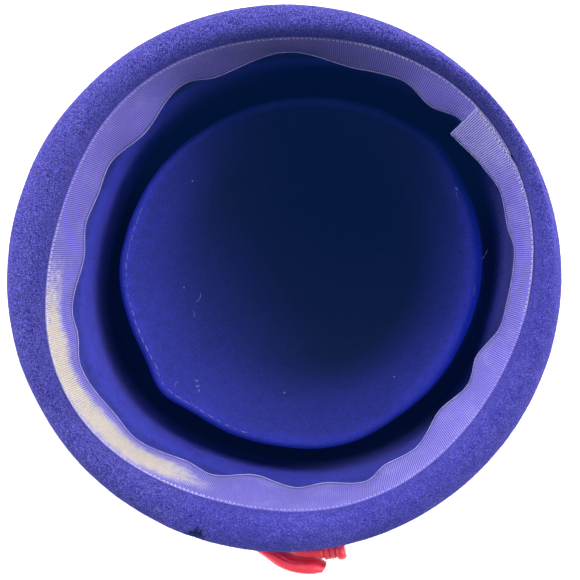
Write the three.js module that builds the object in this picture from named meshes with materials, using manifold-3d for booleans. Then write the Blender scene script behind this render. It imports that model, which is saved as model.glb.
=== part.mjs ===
// Tilt hat of wool felt, lying crown down with its head opening up: the felt body (telescoped crown
// and rolled brim in one), the grosgrain sweatband inside it and a small red trim on the brim.
// Millimetres, +Z up, origin on the floor under the middle of the hat. Bearings are degrees
// counter-clockwise from +X, seen from above.
import * as THREE from "three";
import { mergeVertices } from "three/addons/utils/BufferGeometryUtils.js";
import Module from "manifold-3d";

// Felt body, as one skin that runs from the tip of the crown to the raw edge of the brim.
const FELT = 2.2;
const TIP_HEIGHT = 6.0;
const DISH_POWER = 2.3;
const CREASE = { radius: 72.6, height: 31.5, bend: 5, flare: 0.6 };
const RIDGE_IN = { radius: 76.2, bend: 2.6 };
const RIDGE_OUT = { radius: 88.8, bend: 6 };
const WALL_TOP = { radius: 90.1, height: 91.5 };
const ROLL_RISE = { radius: 90.6, height: 101.2 };
const ROLL_CROWN = { radius: 95.8, height: 100.2 };
const ROLL_TURN = { radius: 100.8, height: 99.4 };
const ROLL_SIDE = { radius: 100.7, height: 88 };
const BRIM_EDGE = { radius: 99.6, height: 77 };
const DISH_STEPS = 5;
const WALL_STEPS = 3;
const BEND_STEPS = 3;
const ROUND_STEPS = 72;

// How far each level is from round: a wave adds its amount where it is longest.
const WALL_WAVES = [
  { lobes: 2, amount: 3.0, longest: 32 },
  { lobes: 4, amount: 1.5, longest: 31 },
  { lobes: 5, amount: 0.5, longest: -8 },
];
const OUTLINE_WAVES = [{ lobes: 2, amount: 1.0, longest: 15 }];
const CREASE_WAVES = [
  { lobes: 2, amount: 1.7, longest: 26 },
  { lobes: 3, amount: 0.6, longest: 41 },
];
// Soft corners of the crease, where the crown was pressed in by hand.
const CREASE_CORNERS = [
  { bearing: 43, out: 1.8, spread: 9 },
  { bearing: 178, out: 1.2, spread: 14 },
  { bearing: 221, out: 3.0, spread: 8 },
  { bearing: 284, out: 1.6, spread: 14 },
];
const OUTLINE_SHIFT = { x: -3.7, y: -2.3 };
const WALL_SHIFT = { x: -1.6, y: -0.4 };
const CREASE_SHIFT = { x: -1.2, y: -0.9 };
const BRIM_ZONE = { from: 93, to: 101 };
const CREASE_ZONE = { from: 79, to: 87, low: 36, high: 50 };
const RIM_SAG = { lobes: 2, amount: 0.8, longest: 120 };
const RIM_ZONE = { from: 55, to: 95 };

// Moth bite in the nap on the outer edge of the roll.
const BITE = { bearing: 252, radius: 101.2, height: 97, long: 3.4, deep: 2, tall: 2.6 };
const BITE_STEPS = { round: 10, tall: 6 };

// Sweatband: one strip whose end laps over its own beginning.
const BAND = { thick: 1.0, width: 25, sewnHeight: 94.6, gap: 0.3, tuck: 7 };
const BAND_START = 28;
const BAND_END = 401;
const LAP_FROM = 372;
const LAP_TO = 385;
const BAND_STEPS = { along: 124, across: 3 };
// Each fold of the free edge along the strip: where it lies nearest the felt and where it stands
// furthest in.
const BAND_FOLDS = [
  { near: 28, nearStand: 4.0, out: 34, outStand: 4.5 },
  { near: 42, nearStand: 4.5, out: 50, outStand: 8.5 },
  { near: 60, nearStand: 4.5, out: 72, outStand: 5.5 },
  { near: 91, nearStand: 0.3, out: 111, outStand: 5.5 },
  { near: 119, nearStand: 2.5, out: 136, outStand: 9.0 },
  { near: 150, nearStand: 3.5, out: 158, outStand: 4.5 },
  { near: 166, nearStand: 3.5, out: 176, outStand: 6.5 },
  { near: 190, nearStand: 3.0, out: 196, outStand: 4.5 },
  { near: 204, nearStand: 2.0, out: 218, outStand: 4.0 },
  { near: 227, nearStand: 2.0, out: 241, outStand: 4.5 },
  { near: 248, nearStand: 2.5, out: 260, outStand: 7.0 },
  { near: 272, nearStand: 3.0, out: 279, outStand: 4.5 },
  { near: 290, nearStand: 1.0, out: 297, outStand: 4.5 },
  { near: 305, nearStand: 3.5, out: 318, outStand: 8.5 },
  { near: 328, nearStand: 5.5, out: 336, outStand: 8.5 },
  { near: 347, nearStand: 4.0, out: 353, outStand: 4.5 },
  { near: 366, nearStand: 4.0, out: 373, outStand: 6.5 },
  { near: 382, nearStand: 6.0, out: 401, outStand: 10.5 },
];

// Red trim on the outside of the roll. Each row is a section across the piece: how far it stands
// clear of the brim, how deep it is away from the brim, how tall it is, and by how many degrees its
// outer side is turned back.
const TRIM_HEIGHT = 82.5;
const LOOP_WALL = 0.8;
const LOOP_HOLLOW_FROM = 4;
const LOOP_SECTIONS = [
  { bearing: 263.4, clear: 0.4, deep: 1.2, tall: 5.0, slant: 0 },
  { bearing: 266.6, clear: 0.4, deep: 4.4, tall: 9.0, slant: 0 },
  { bearing: 269.0, clear: 1.0, deep: 6.9, tall: 11.0, slant: 0 },
  { bearing: 271.0, clear: 2.8, deep: 6.8, tall: 12.0, slant: 0 },
  { bearing: 273.0, clear: 4.6, deep: 6.0, tall: 12.0, slant: 0 },
  { bearing: 275.0, clear: 5.1, deep: 6.2, tall: 11.5, slant: 0 },
  { bearing: 276.6, clear: 5.5, deep: 6.0, tall: 11.0, slant: 0 },
  { bearing: 277.6, clear: 6.5, deep: 4.7, tall: 9.5, slant: 0.3 },
  { bearing: 278.3, clear: 8.6, deep: 2.6, tall: 8.0, slant: 0.75 },
];
const STEM_SECTIONS = [
  { bearing: 271.6, clear: 0.4, deep: 1.2, tall: 4.0, slant: 0 },
  { bearing: 273.0, clear: 0.4, deep: 3.2, tall: 8.5, slant: 0 },
  { bearing: 274.8, clear: 0.4, deep: 4.2, tall: 8.5, slant: 0 },
  { bearing: 276.3, clear: 0.4, deep: 4.5, tall: 8.5, slant: 0 },
  { bearing: 278.2, clear: 0.4, deep: 5.8, tall: 8.5, slant: 0 },
  { bearing: 278.8, clear: 1.7, deep: 3.9, tall: 6.0, slant: 0 },
  { bearing: 281.35, clear: 1.7, deep: 3.9, tall: 6.0, slant: 0 },
  { bearing: 281.95, clear: 0.4, deep: 7.1, tall: 9.0, slant: 0 },
  { bearing: 282.7, clear: 0.4, deep: 7.5, tall: 9.0, slant: 0 },
  { bearing: 283.3, clear: 0.9, deep: 6.0, tall: 7.4, slant: 0 },
];
const NECK_ROW = 5;
const BINDING = { from: 279.0, to: 281.15, gap: 0.3, thick: 0.7, turns: 2, ridge: 0.25 };
const RIDGE_STEPS = 4;
const TRIM_ROUND_STEPS = 14;

// Radius of a lathe's profile that stands for its axis, its inner skin and its outer skin.
const AXIS = 0;
const INNER = 1;
const OUTER = 2;
const WELD = 1e-4;

const FELT_LOOK = { color: 0x3b2fae, roughness: 0.95 };
const BAND_LOOK = { color: 0x6a5fd0, roughness: 0.7 };
const TRIM_LOOK = { color: 0xe8283f, roughness: 0.55 };

const wasm = await Module();
wasm.setup();

/** Sum of the waves round the hat at one bearing, in millimetres. */
function wave(rows, bearing) {
  let sum = 0;
  for (const row of rows) {
    sum += row.amount * Math.cos(THREE.MathUtils.degToRad(row.lobes * (bearing - row.longest)));
  }
  return sum;
}

/** Soft corners of the crease at one bearing, in millimetres. */
function corners(rows, bearing) {
  let sum = 0;
  for (const row of rows) {
    const away = THREE.MathUtils.euclideanModulo(bearing - row.bearing + 180, 360) - 180;
    sum += row.out * Math.exp(-((away / row.spread) ** 2));
  }
  return sum;
}

/** Moves a point of the round hat to where the uneven, oval hat has it. */
function settle(radius, bearing, height) {
  const brim = THREE.MathUtils.smoothstep(radius, BRIM_ZONE.from, BRIM_ZONE.to);
  const inside = 1 - THREE.MathUtils.smoothstep(radius, CREASE_ZONE.from, CREASE_ZONE.to);
  const crease = inside * (1 - THREE.MathUtils.smoothstep(height, CREASE_ZONE.low, CREASE_ZONE.high));
  const wall = (1 - brim) * (1 - crease);
  const dish = Math.min(1, radius / CREASE.radius) ** 2;
  const creaseOut = wave(CREASE_WAVES, bearing) + corners(CREASE_CORNERS, bearing);
  const out = radius
    + brim * wave(OUTLINE_WAVES, bearing)
    + wall * wave(WALL_WAVES, bearing)
    + crease * dish * creaseOut;
  const angle = THREE.MathUtils.degToRad(bearing);
  const rim = THREE.MathUtils.smoothstep(height, RIM_ZONE.from, RIM_ZONE.to);
  return new THREE.Vector3(
    out * Math.cos(angle) + brim * OUTLINE_SHIFT.x + wall * WALL_SHIFT.x + crease * CREASE_SHIFT.x,
    out * Math.sin(angle) + brim * OUTLINE_SHIFT.y + wall * WALL_SHIFT.y + crease * CREASE_SHIFT.y,
    height + rim * wave([RIM_SAG], bearing),
  );
}

/** Welds a geometry's seams and moves each of its corners by a function of the old place. */
function reshape(geometry, place) {
  geometry.deleteAttribute("normal");
  geometry.deleteAttribute("uv");
  const welded = mergeVertices(geometry, WELD);
  const position = welded.getAttribute("position");
  const corner = new THREE.Vector3();
  for (let i = 0; i < position.count; i += 1) {
    corner.fromBufferAttribute(position, i);
    const moved = place(corner);
    position.setXYZ(i, moved.x, moved.y, moved.z);
  }
  return welded;
}

/** Closed mesh as a solid that can be cut. */
function solidOf(geometry) {
  const vertProperties = new Float32Array(geometry.getAttribute("position").array);
  const triVerts = new Uint32Array(geometry.getIndex().array);
  return new wasm.Manifold(new wasm.Mesh({ numProp: 3, vertProperties, triVerts }));
}

/** Cut solid as a mesh geometry again. */
function geometryOf(solid) {
  const mesh = solid.getMesh();
  const geometry = new THREE.BufferGeometry();
  geometry.setAttribute("position", new THREE.BufferAttribute(mesh.vertProperties, 3));
  geometry.setIndex(new THREE.BufferAttribute(mesh.triVerts, 1));
  return geometry;
}

/** Middle line of the felt, from the tip of the crown to the raw edge of the brim. */
function feltLine() {
  const half = FELT / 2;
  const path = new THREE.Path();
  const dishEdge = CREASE.radius - CREASE.bend;
  const dishRise = CREASE.height - TIP_HEIGHT - CREASE.bend / 2;
  path.moveTo(0, TIP_HEIGHT);
  for (let i = 1; i <= DISH_STEPS; i += 1) {
    const share = i / DISH_STEPS;
    path.lineTo(dishEdge * share, TIP_HEIGHT + dishRise * share ** DISH_POWER);
  }
  path.bezierCurveTo(
    CREASE.radius - CREASE.bend / 2, CREASE.height,
    CREASE.radius, CREASE.height,
    CREASE.radius + CREASE.flare, CREASE.height - CREASE.bend,
  );
  path.lineTo(RIDGE_IN.radius, half + RIDGE_IN.bend);
  path.quadraticCurveTo(RIDGE_IN.radius, half, RIDGE_IN.radius + RIDGE_IN.bend, half);
  path.lineTo(RIDGE_OUT.radius - RIDGE_OUT.bend, half);
  path.quadraticCurveTo(RIDGE_OUT.radius, half, RIDGE_OUT.radius, half + RIDGE_OUT.bend);
  for (let i = 1; i <= WALL_STEPS; i += 1) {
    const share = i / WALL_STEPS;
    path.lineTo(
      THREE.MathUtils.lerp(RIDGE_OUT.radius, WALL_TOP.radius, share),
      THREE.MathUtils.lerp(half + RIDGE_OUT.bend, WALL_TOP.height, share),
    );
  }
  path.quadraticCurveTo(ROLL_RISE.radius, ROLL_RISE.height, ROLL_CROWN.radius, ROLL_CROWN.height);
  path.quadraticCurveTo(ROLL_TURN.radius, ROLL_TURN.height, ROLL_SIDE.radius, ROLL_SIDE.height);
  path.lineTo(BRIM_EDGE.radius, BRIM_EDGE.height);
  return path.getPoints(BEND_STEPS);
}

/** Unit direction square to the line from one point to the next, on its right. */
function rightOf(from, to) {
  const along = new THREE.Vector2().subVectors(to, from).normalize();
  return new THREE.Vector2(along.y, -along.x);
}

/** Points of one face of the felt, a distance to the right (+) or left (-) of its middle line. */
function feltFace(line, distance) {
  const last = line.length - 1;
  return line.map((point, i) => {
    const arriving = i === 0 ? new THREE.Vector2(0, -1) : rightOf(line[i - 1], point);
    const leaving = i === last ? arriving : rightOf(point, line[i + 1]);
    const mitre = new THREE.Vector2().addVectors(arriving, leaving);
    const reach = distance / (1 + arriving.dot(leaving));
    const moved = new THREE.Vector2().copy(point).addScaledVector(mitre, reach);
    return i === 0 ? moved.setX(0) : moved;
  });
}

/** Crown and brim as one closed skin of felt, with the moth bite taken out. */
function feltBody() {
  const line = feltLine();
  const outer = feltFace(line, FELT / 2);
  const inner = feltFace(line, -FELT / 2).reverse();
  const lathe = new THREE.LatheGeometry([...outer, ...inner], ROUND_STEPS);
  lathe.rotateX(Math.PI / 2);
  const shaped = reshape(lathe, (corner) => {
    const bearing = THREE.MathUtils.radToDeg(Math.atan2(corner.y, corner.x));
    return settle(Math.hypot(corner.x, corner.y), bearing, corner.z);
  });
  const bite = new THREE.SphereGeometry(1, BITE_STEPS.round, BITE_STEPS.tall);
  bite.scale(BITE.deep, BITE.long, BITE.tall);
  bite.rotateZ(THREE.MathUtils.degToRad(BITE.bearing));
  const seat = settle(BITE.radius, BITE.bearing, BITE.height);
  bite.translate(seat.x, seat.y, seat.z);
  const cutter = reshape(bite, (corner) => corner);
  return geometryOf(solidOf(shaped).subtract(solidOf(cutter)));
}

/** Radius of the felt's inner face on the wall at a height. */
function wallInside(height) {
  const share = (height - RIDGE_OUT.bend) / (WALL_TOP.height - RIDGE_OUT.bend);
  return THREE.MathUtils.lerp(RIDGE_OUT.radius, WALL_TOP.radius, share) - FELT / 2;
}

/** Radius of the brim's outer face at a height. */
function brimOutside(height) {
  const share = (height - BRIM_EDGE.height) / (ROLL_SIDE.height - BRIM_EDGE.height);
  return THREE.MathUtils.lerp(BRIM_EDGE.radius, ROLL_SIDE.radius, share) + FELT / 2;
}

/** How far the sweatband's free edge stands in from the felt at a bearing along the strip. */
function bandStand(bearing) {
  const rows = BAND_FOLDS.flatMap((fold) => [
    { bearing: fold.near, stand: fold.nearStand },
    { bearing: fold.out, stand: fold.outStand },
  ]);
  const found = rows.findIndex((row) => row.bearing >= bearing);
  const next = THREE.MathUtils.clamp(found, 1, rows.length - 1);
  const from = rows[next - 1];
  const to = rows[next];
  const share = THREE.MathUtils.smoothstep(bearing, from.bearing, to.bearing);
  return THREE.MathUtils.lerp(from.stand, to.stand, share);
}

/** Sweatband: a long flat box wrapped round the inside of the head opening. */
function sweatband() {
  const box = new THREE.BoxGeometry(1, 1, 1, BAND_STEPS.along, BAND_STEPS.across, 1);
  return reshape(box, (corner) => {
    const bearing = THREE.MathUtils.lerp(BAND_START, BAND_END, corner.x + 0.5);
    const down = 0.5 - corner.y;
    const lapped = THREE.MathUtils.smoothstep(bearing, LAP_FROM, LAP_TO);
    const lap = lapped * (BAND.thick + BAND.gap);
    const standing = THREE.MathUtils.smoothstep(down * BAND.width, 0, BAND.width + BAND.tuck);
    const lean = bandStand(bearing) * standing;
    const drop = Math.sqrt(Math.max(0, (down * BAND.width) ** 2 - lean ** 2));
    const height = BAND.sewnHeight - drop;
    const face = wallInside(Math.min(height, WALL_TOP.height)) - BAND.gap - lap - lean;
    const radius = face - BAND.thick * (0.5 - corner.z);
    return settle(radius, bearing, height);
  });
}

/** Places a point round a trim section: angle 0 faces away from the hat, inset goes inwards. */
function trimPoint(section, bearing, angle, inset) {
  const deep = section.deep / 2 - inset;
  const tall = section.tall / 2 - inset;
  const height = TRIM_HEIGHT + tall * Math.sin(angle);
  const middle = brimOutside(height) + section.clear + section.deep / 2;
  const slanted = bearing - section.slant * Math.cos(angle);
  return settle(middle + deep * Math.cos(angle), slanted, height);
}

/** Which skin of its lathe a corner belongs to. */
function skinOf(corner) {
  return Math.round(Math.hypot(corner.x, corner.z));
}

/** Middle of a trim section. */
function trimMiddle(section) {
  const radius = brimOutside(TRIM_HEIGHT) + section.clear + section.deep / 2;
  return settle(radius, section.bearing, TRIM_HEIGHT);
}

/** Solid rolled piece of trim with one ring of corners for each of its sections. */
function rolled(sections) {
  const last = sections.length - 1;
  const rings = sections.map((_, row) => new THREE.Vector2(OUTER, row));
  const profile = [new THREE.Vector2(AXIS, 0), ...rings, new THREE.Vector2(AXIS, last)];
  return reshape(new THREE.LatheGeometry(profile, TRIM_ROUND_STEPS), (corner) => {
    const section = sections[Math.round(corner.y)];
    if (skinOf(corner) === AXIS) {
      return trimMiddle(section);
    }
    return trimPoint(section, section.bearing, Math.atan2(corner.z, corner.x), 0);
  });
}

/** Rolled piece of trim that is hollow from one of its sections to an open mouth at the last. */
function rolledWithMouth(sections, hollowFrom, wall) {
  const outer = sections.map((_, row) => new THREE.Vector2(OUTER, row));
  const hollow = sections.slice(hollowFrom);
  const inner = hollow.map((_, row) => new THREE.Vector2(INNER, hollowFrom + row));
  const root = new THREE.Vector2(AXIS, 0);
  const floor = new THREE.Vector2(AXIS, hollowFrom);
  const profile = [root, ...outer, ...inner.reverse(), floor];
  return reshape(new THREE.LatheGeometry(profile, TRIM_ROUND_STEPS), (corner) => {
    const section = sections[Math.round(corner.y)];
    if (skinOf(corner) === AXIS) {
      return trimMiddle(section);
    }
    const inset = skinOf(corner) === OUTER ? 0 : wall;
    return trimPoint(section, section.bearing, Math.atan2(corner.z, corner.x), inset);
  });
}

/** Binding round the neck of the stem: a sleeve with one ridge for each turn. */
function binding() {
  const steps = BINDING.turns * RIDGE_STEPS;
  const outer = [];
  const inner = [];
  for (let i = 0; i <= steps; i += 1) {
    outer.push(new THREE.Vector2(OUTER, i / steps));
    inner.push(new THREE.Vector2(INNER, i / steps));
  }
  const loop = [...outer, ...inner.reverse(), outer[0]];
  return reshape(new THREE.LatheGeometry(loop, TRIM_ROUND_STEPS), (corner) => {
    const bearing = THREE.MathUtils.lerp(BINDING.from, BINDING.to, corner.y);
    const ridge = BINDING.ridge * Math.abs(Math.sin(Math.PI * BINDING.turns * corner.y));
    const thick = skinOf(corner) === OUTER ? BINDING.thick + ridge : 0;
    const outward = BINDING.gap + thick;
    return trimPoint(STEM_SECTIONS[NECK_ROW], bearing, Math.atan2(corner.z, corner.x), -outward);
  });
}

/** Named mesh in its own material. */
function piece(name, geometry, look) {
  const mesh = new THREE.Mesh(geometry, new THREE.MeshStandardMaterial(look));
  mesh.name = name;
  return mesh;
}

const hat = new THREE.Group();
hat.add(piece("felt_body", feltBody(), FELT_LOOK));
hat.add(piece("sweatband", sweatband(), BAND_LOOK));
hat.add(piece("trim_loop", rolledWithMouth(LOOP_SECTIONS, LOOP_HOLLOW_FROM, LOOP_WALL), TRIM_LOOK));
hat.add(piece("trim_stem", rolled(STEM_SECTIONS), TRIM_LOOK));
hat.add(piece("trim_binding", binding(), TRIM_LOOK));

const bounds = new THREE.Box3().setFromObject(hat);
const middle = bounds.getCenter(new THREE.Vector3());
hat.position.set(-middle.x, -middle.y, -bounds.min.z);

export default hat;
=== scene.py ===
"""Tilt hat of wool felt, lying crown down: felt, sweatband, stitching, side trim and studio.

Shapes are worked out in millimetres in the hat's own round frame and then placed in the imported
model's frame, in metres. Bearings are degrees counter-clockwise from +X, seen from above.
"""
import logging
import math
from dataclasses import dataclass, field
from enum import Enum
from typing import Optional, Protocol, Sequence

import bpy
import numpy as np
from mathutils import Matrix, Vector, noise


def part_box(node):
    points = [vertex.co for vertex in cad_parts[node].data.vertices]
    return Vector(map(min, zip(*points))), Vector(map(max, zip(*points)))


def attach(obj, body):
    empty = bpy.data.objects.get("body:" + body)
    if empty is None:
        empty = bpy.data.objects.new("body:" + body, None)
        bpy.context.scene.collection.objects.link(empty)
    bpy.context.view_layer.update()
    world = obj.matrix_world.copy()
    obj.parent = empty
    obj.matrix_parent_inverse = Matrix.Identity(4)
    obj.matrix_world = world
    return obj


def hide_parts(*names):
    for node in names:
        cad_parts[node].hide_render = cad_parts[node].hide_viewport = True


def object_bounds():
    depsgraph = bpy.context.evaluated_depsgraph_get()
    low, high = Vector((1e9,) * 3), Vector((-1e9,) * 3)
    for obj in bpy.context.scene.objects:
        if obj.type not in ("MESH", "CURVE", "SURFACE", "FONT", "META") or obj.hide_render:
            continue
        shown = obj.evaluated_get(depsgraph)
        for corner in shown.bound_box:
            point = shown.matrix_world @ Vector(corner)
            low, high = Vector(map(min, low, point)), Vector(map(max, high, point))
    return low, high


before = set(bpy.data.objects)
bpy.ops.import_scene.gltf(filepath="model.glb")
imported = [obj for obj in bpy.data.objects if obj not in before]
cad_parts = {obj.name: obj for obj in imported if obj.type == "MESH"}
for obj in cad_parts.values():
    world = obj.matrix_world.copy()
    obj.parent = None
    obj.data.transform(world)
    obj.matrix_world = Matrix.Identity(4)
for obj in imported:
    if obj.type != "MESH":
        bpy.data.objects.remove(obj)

CAD_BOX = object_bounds()
MM = 0.001
SEED = 11
THREAD_SIDES = 6
TINY = 1e-12
Array = np.ndarray
Number = np.ndarray | float
Triple = tuple[float, float, float]
Colour = Triple
Socket = bpy.types.NodeSocket
Source = Socket | float
Tint = Socket | Colour
log = logging.getLogger("tilt_hat")


def smooth(value: Number, low: float, high: Number) -> Array:
    """Eases from 0 at low to 1 at high."""
    share = np.clip((np.asarray(value, float) - low) / (high - low), 0.0, 1.0)
    return share * share * (3.0 - 2.0 * share)


def lerp(start: Number, end: Number, share: Number) -> Number:
    """Value part of the way from start to end."""
    return start + (end - start) * share


def angle_between(first: Array, second: float) -> Array:
    """Angle between two bearings, from 0 to 180 degrees."""
    return np.abs((first - second + 180.0) % 360.0 - 180.0)


def cloud(points: Array, size: float, shift: float = 0.0) -> Array:
    """Smooth unevenness from about -1 to 1 at each point.

    Args:
        points: places in millimetres, three in each row.
        size: width of one lump in millimetres.
        shift: moves the pattern, so that two uses differ.

    Returns:
        One value for each point.
    """
    flat = points.reshape(-1, 3) / size + shift
    values = [noise.noise(Vector(place)) for place in flat]
    return np.array(values).reshape(points.shape[:-1])


@dataclass(frozen=True)
class Ease:
    """A stretch of radius, height or bearing over which an amount comes or goes smoothly."""

    low: float
    high: float
    amount: float = 1.0

    def on(self, value: Number) -> Array:
        """Grows from 0 at low to the amount at high."""
        return self.amount * smooth(value, self.low, self.high)

    def off(self, value: Number) -> Array:
        """Falls from the amount at low to 0 at high."""
        return self.amount - self.on(value)


@dataclass(frozen=True)
class Side:
    """An amount on one side of the hat, and how many degrees away it starts and stops fading."""

    bearing: float
    close: float
    far: float
    amount: float = 1.0

    def away(self, around: Array) -> Array:
        """Grows from 0 on this side to the amount on the others."""
        return self.amount * smooth(angle_between(around, self.bearing), self.close, self.far)

    def near(self, around: Array) -> Array:
        """Falls from the amount on this side to 0 on the others."""
        return self.amount - self.away(around)


@dataclass(frozen=True)
class Wave:
    """One regular way in which a ring is out of round: its longest bearing, repeats and amount."""

    lobes: int
    amount: float
    longest: float

    def out(self, bearing: Array) -> Array:
        """How far the ring is pushed out at each bearing."""
        return self.amount * np.cos(np.radians(self.lobes * (bearing - self.longest)))


@dataclass(frozen=True)
class Corner:
    """One soft corner pushed out of a ring, with the bearing range that it spreads over."""

    bearing: float
    amount: float
    spread: float

    def out(self, bearing: Array) -> Array:
        """How far the ring is pushed out at each bearing."""
        return self.amount * np.exp(-((angle_between(bearing, self.bearing) / self.spread) ** 2))


def pushed(rows: Sequence[Wave | Corner], bearing: Array) -> Array:
    """How far a ring is pushed out by all its waves and corners."""
    return sum(row.out(bearing) for row in rows)


@dataclass(frozen=True)
class Turn:
    """A point of the felt's section: distance from the hat's axis, and height."""

    radius: float
    height: float


def leg(start: Array, controls: Sequence[Turn], steps: int) -> list[Array]:
    """Steps of a line that is pulled towards its controls and ends on the last of them.

    Args:
        start: where the line has got to.
        controls: one control for a straight run, more for a bend.
        steps: number of steps.

    Returns:
        The points after the start.
    """
    points = []
    for step in range(1, steps + 1):
        layer = [start] + [np.array([turn.radius, turn.height]) for turn in controls]
        while len(layer) > 1:
            layer = [a + (b - a) * step / steps for a, b in zip(layer, layer[1:])]
        points.append(layer[0])
    return points


@dataclass
class Blank:
    """Corners and faces of a piece before it becomes an object, with values at its corners."""

    corners: Array
    faces: list[Array]
    values: dict[str, Array] = field(default_factory=dict)

    @staticmethod
    def joined(blanks: Sequence["Blank"]) -> "Blank":
        """Makes one blank of several that carry the same values."""
        faces: list[Array] = []
        start = 0
        for blank in blanks:
            faces.extend(block + start for block in blank.faces)
            start += len(blank.corners)
        names = blanks[0].values.keys()
        values = {name: np.concatenate([blank.values[name] for blank in blanks]) for name in names}
        return Blank(np.concatenate([blank.corners for blank in blanks]), faces, values)


def grid_faces(rows: int, columns: int) -> Array:
    """Four-cornered faces between neighbouring rows of corners, each row closed on itself."""
    row = np.arange(rows - 1)[:, None] * columns
    here = np.arange(columns)[None, :]
    beside = (here + 1) % columns
    corners = [row + here, row + beside, row + columns + beside, row + columns + here]
    return np.stack(corners, axis=-1).reshape(-1, 4)


def closed_faces(rings: int, sides: int) -> list[Array]:
    """Faces of a run of rings that is closed at each end by a pole, the two poles coming last."""
    wheel = np.arange(sides)
    beside = (wheel + 1) % sides
    pole = rings * sides
    last = pole - sides
    start = np.stack([np.full(sides, pole), beside, wheel], axis=1)
    end = np.stack([np.full(sides, pole + 1), last + wheel, last + beside], axis=1)
    return [grid_faces(rings, sides), np.concatenate([start, end])]


def tubes(paths: Array, radii: Number, sides: int = THREAD_SIDES) -> Blank:
    """Round threads along several paths, each closed at both ends.

    Args:
        paths: places in millimetres: one path, one step and three numbers deep.
        radii: radius of the thread, at each step, or at each step of each path.
        sides: number of flats round a thread.

    Returns:
        The threads as one blank.
    """
    count, steps, _ = paths.shape
    along = np.gradient(paths, axis=1)
    along /= np.linalg.norm(along, axis=2, keepdims=True) + TINY
    side = np.cross(along, np.array([0.13, 0.21, 0.97]))
    side /= np.linalg.norm(side, axis=2, keepdims=True) + TINY
    top = np.cross(side, along)
    angle = (np.arange(sides) * 2 * math.pi / sides)[None, None, :, None]
    ring = side[:, :, None, :] * np.cos(angle) + top[:, :, None, :] * np.sin(angle)
    rings = paths[:, :, None, :] + ring * np.broadcast_to(radii, (count, steps))[:, :, None, None]
    poles = np.stack([paths[:, 0], paths[:, -1]], axis=1)
    corners = np.concatenate([rings.reshape(count, -1, 3), poles], axis=1)
    shifts = np.arange(count)[:, None, None] * (steps * sides + 2)
    blocks = closed_faces(steps, sides)
    faces = [(block[None] + shifts).reshape(-1, block.shape[1]) for block in blocks]
    return Blank(corners.reshape(-1, 3), faces)


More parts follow.
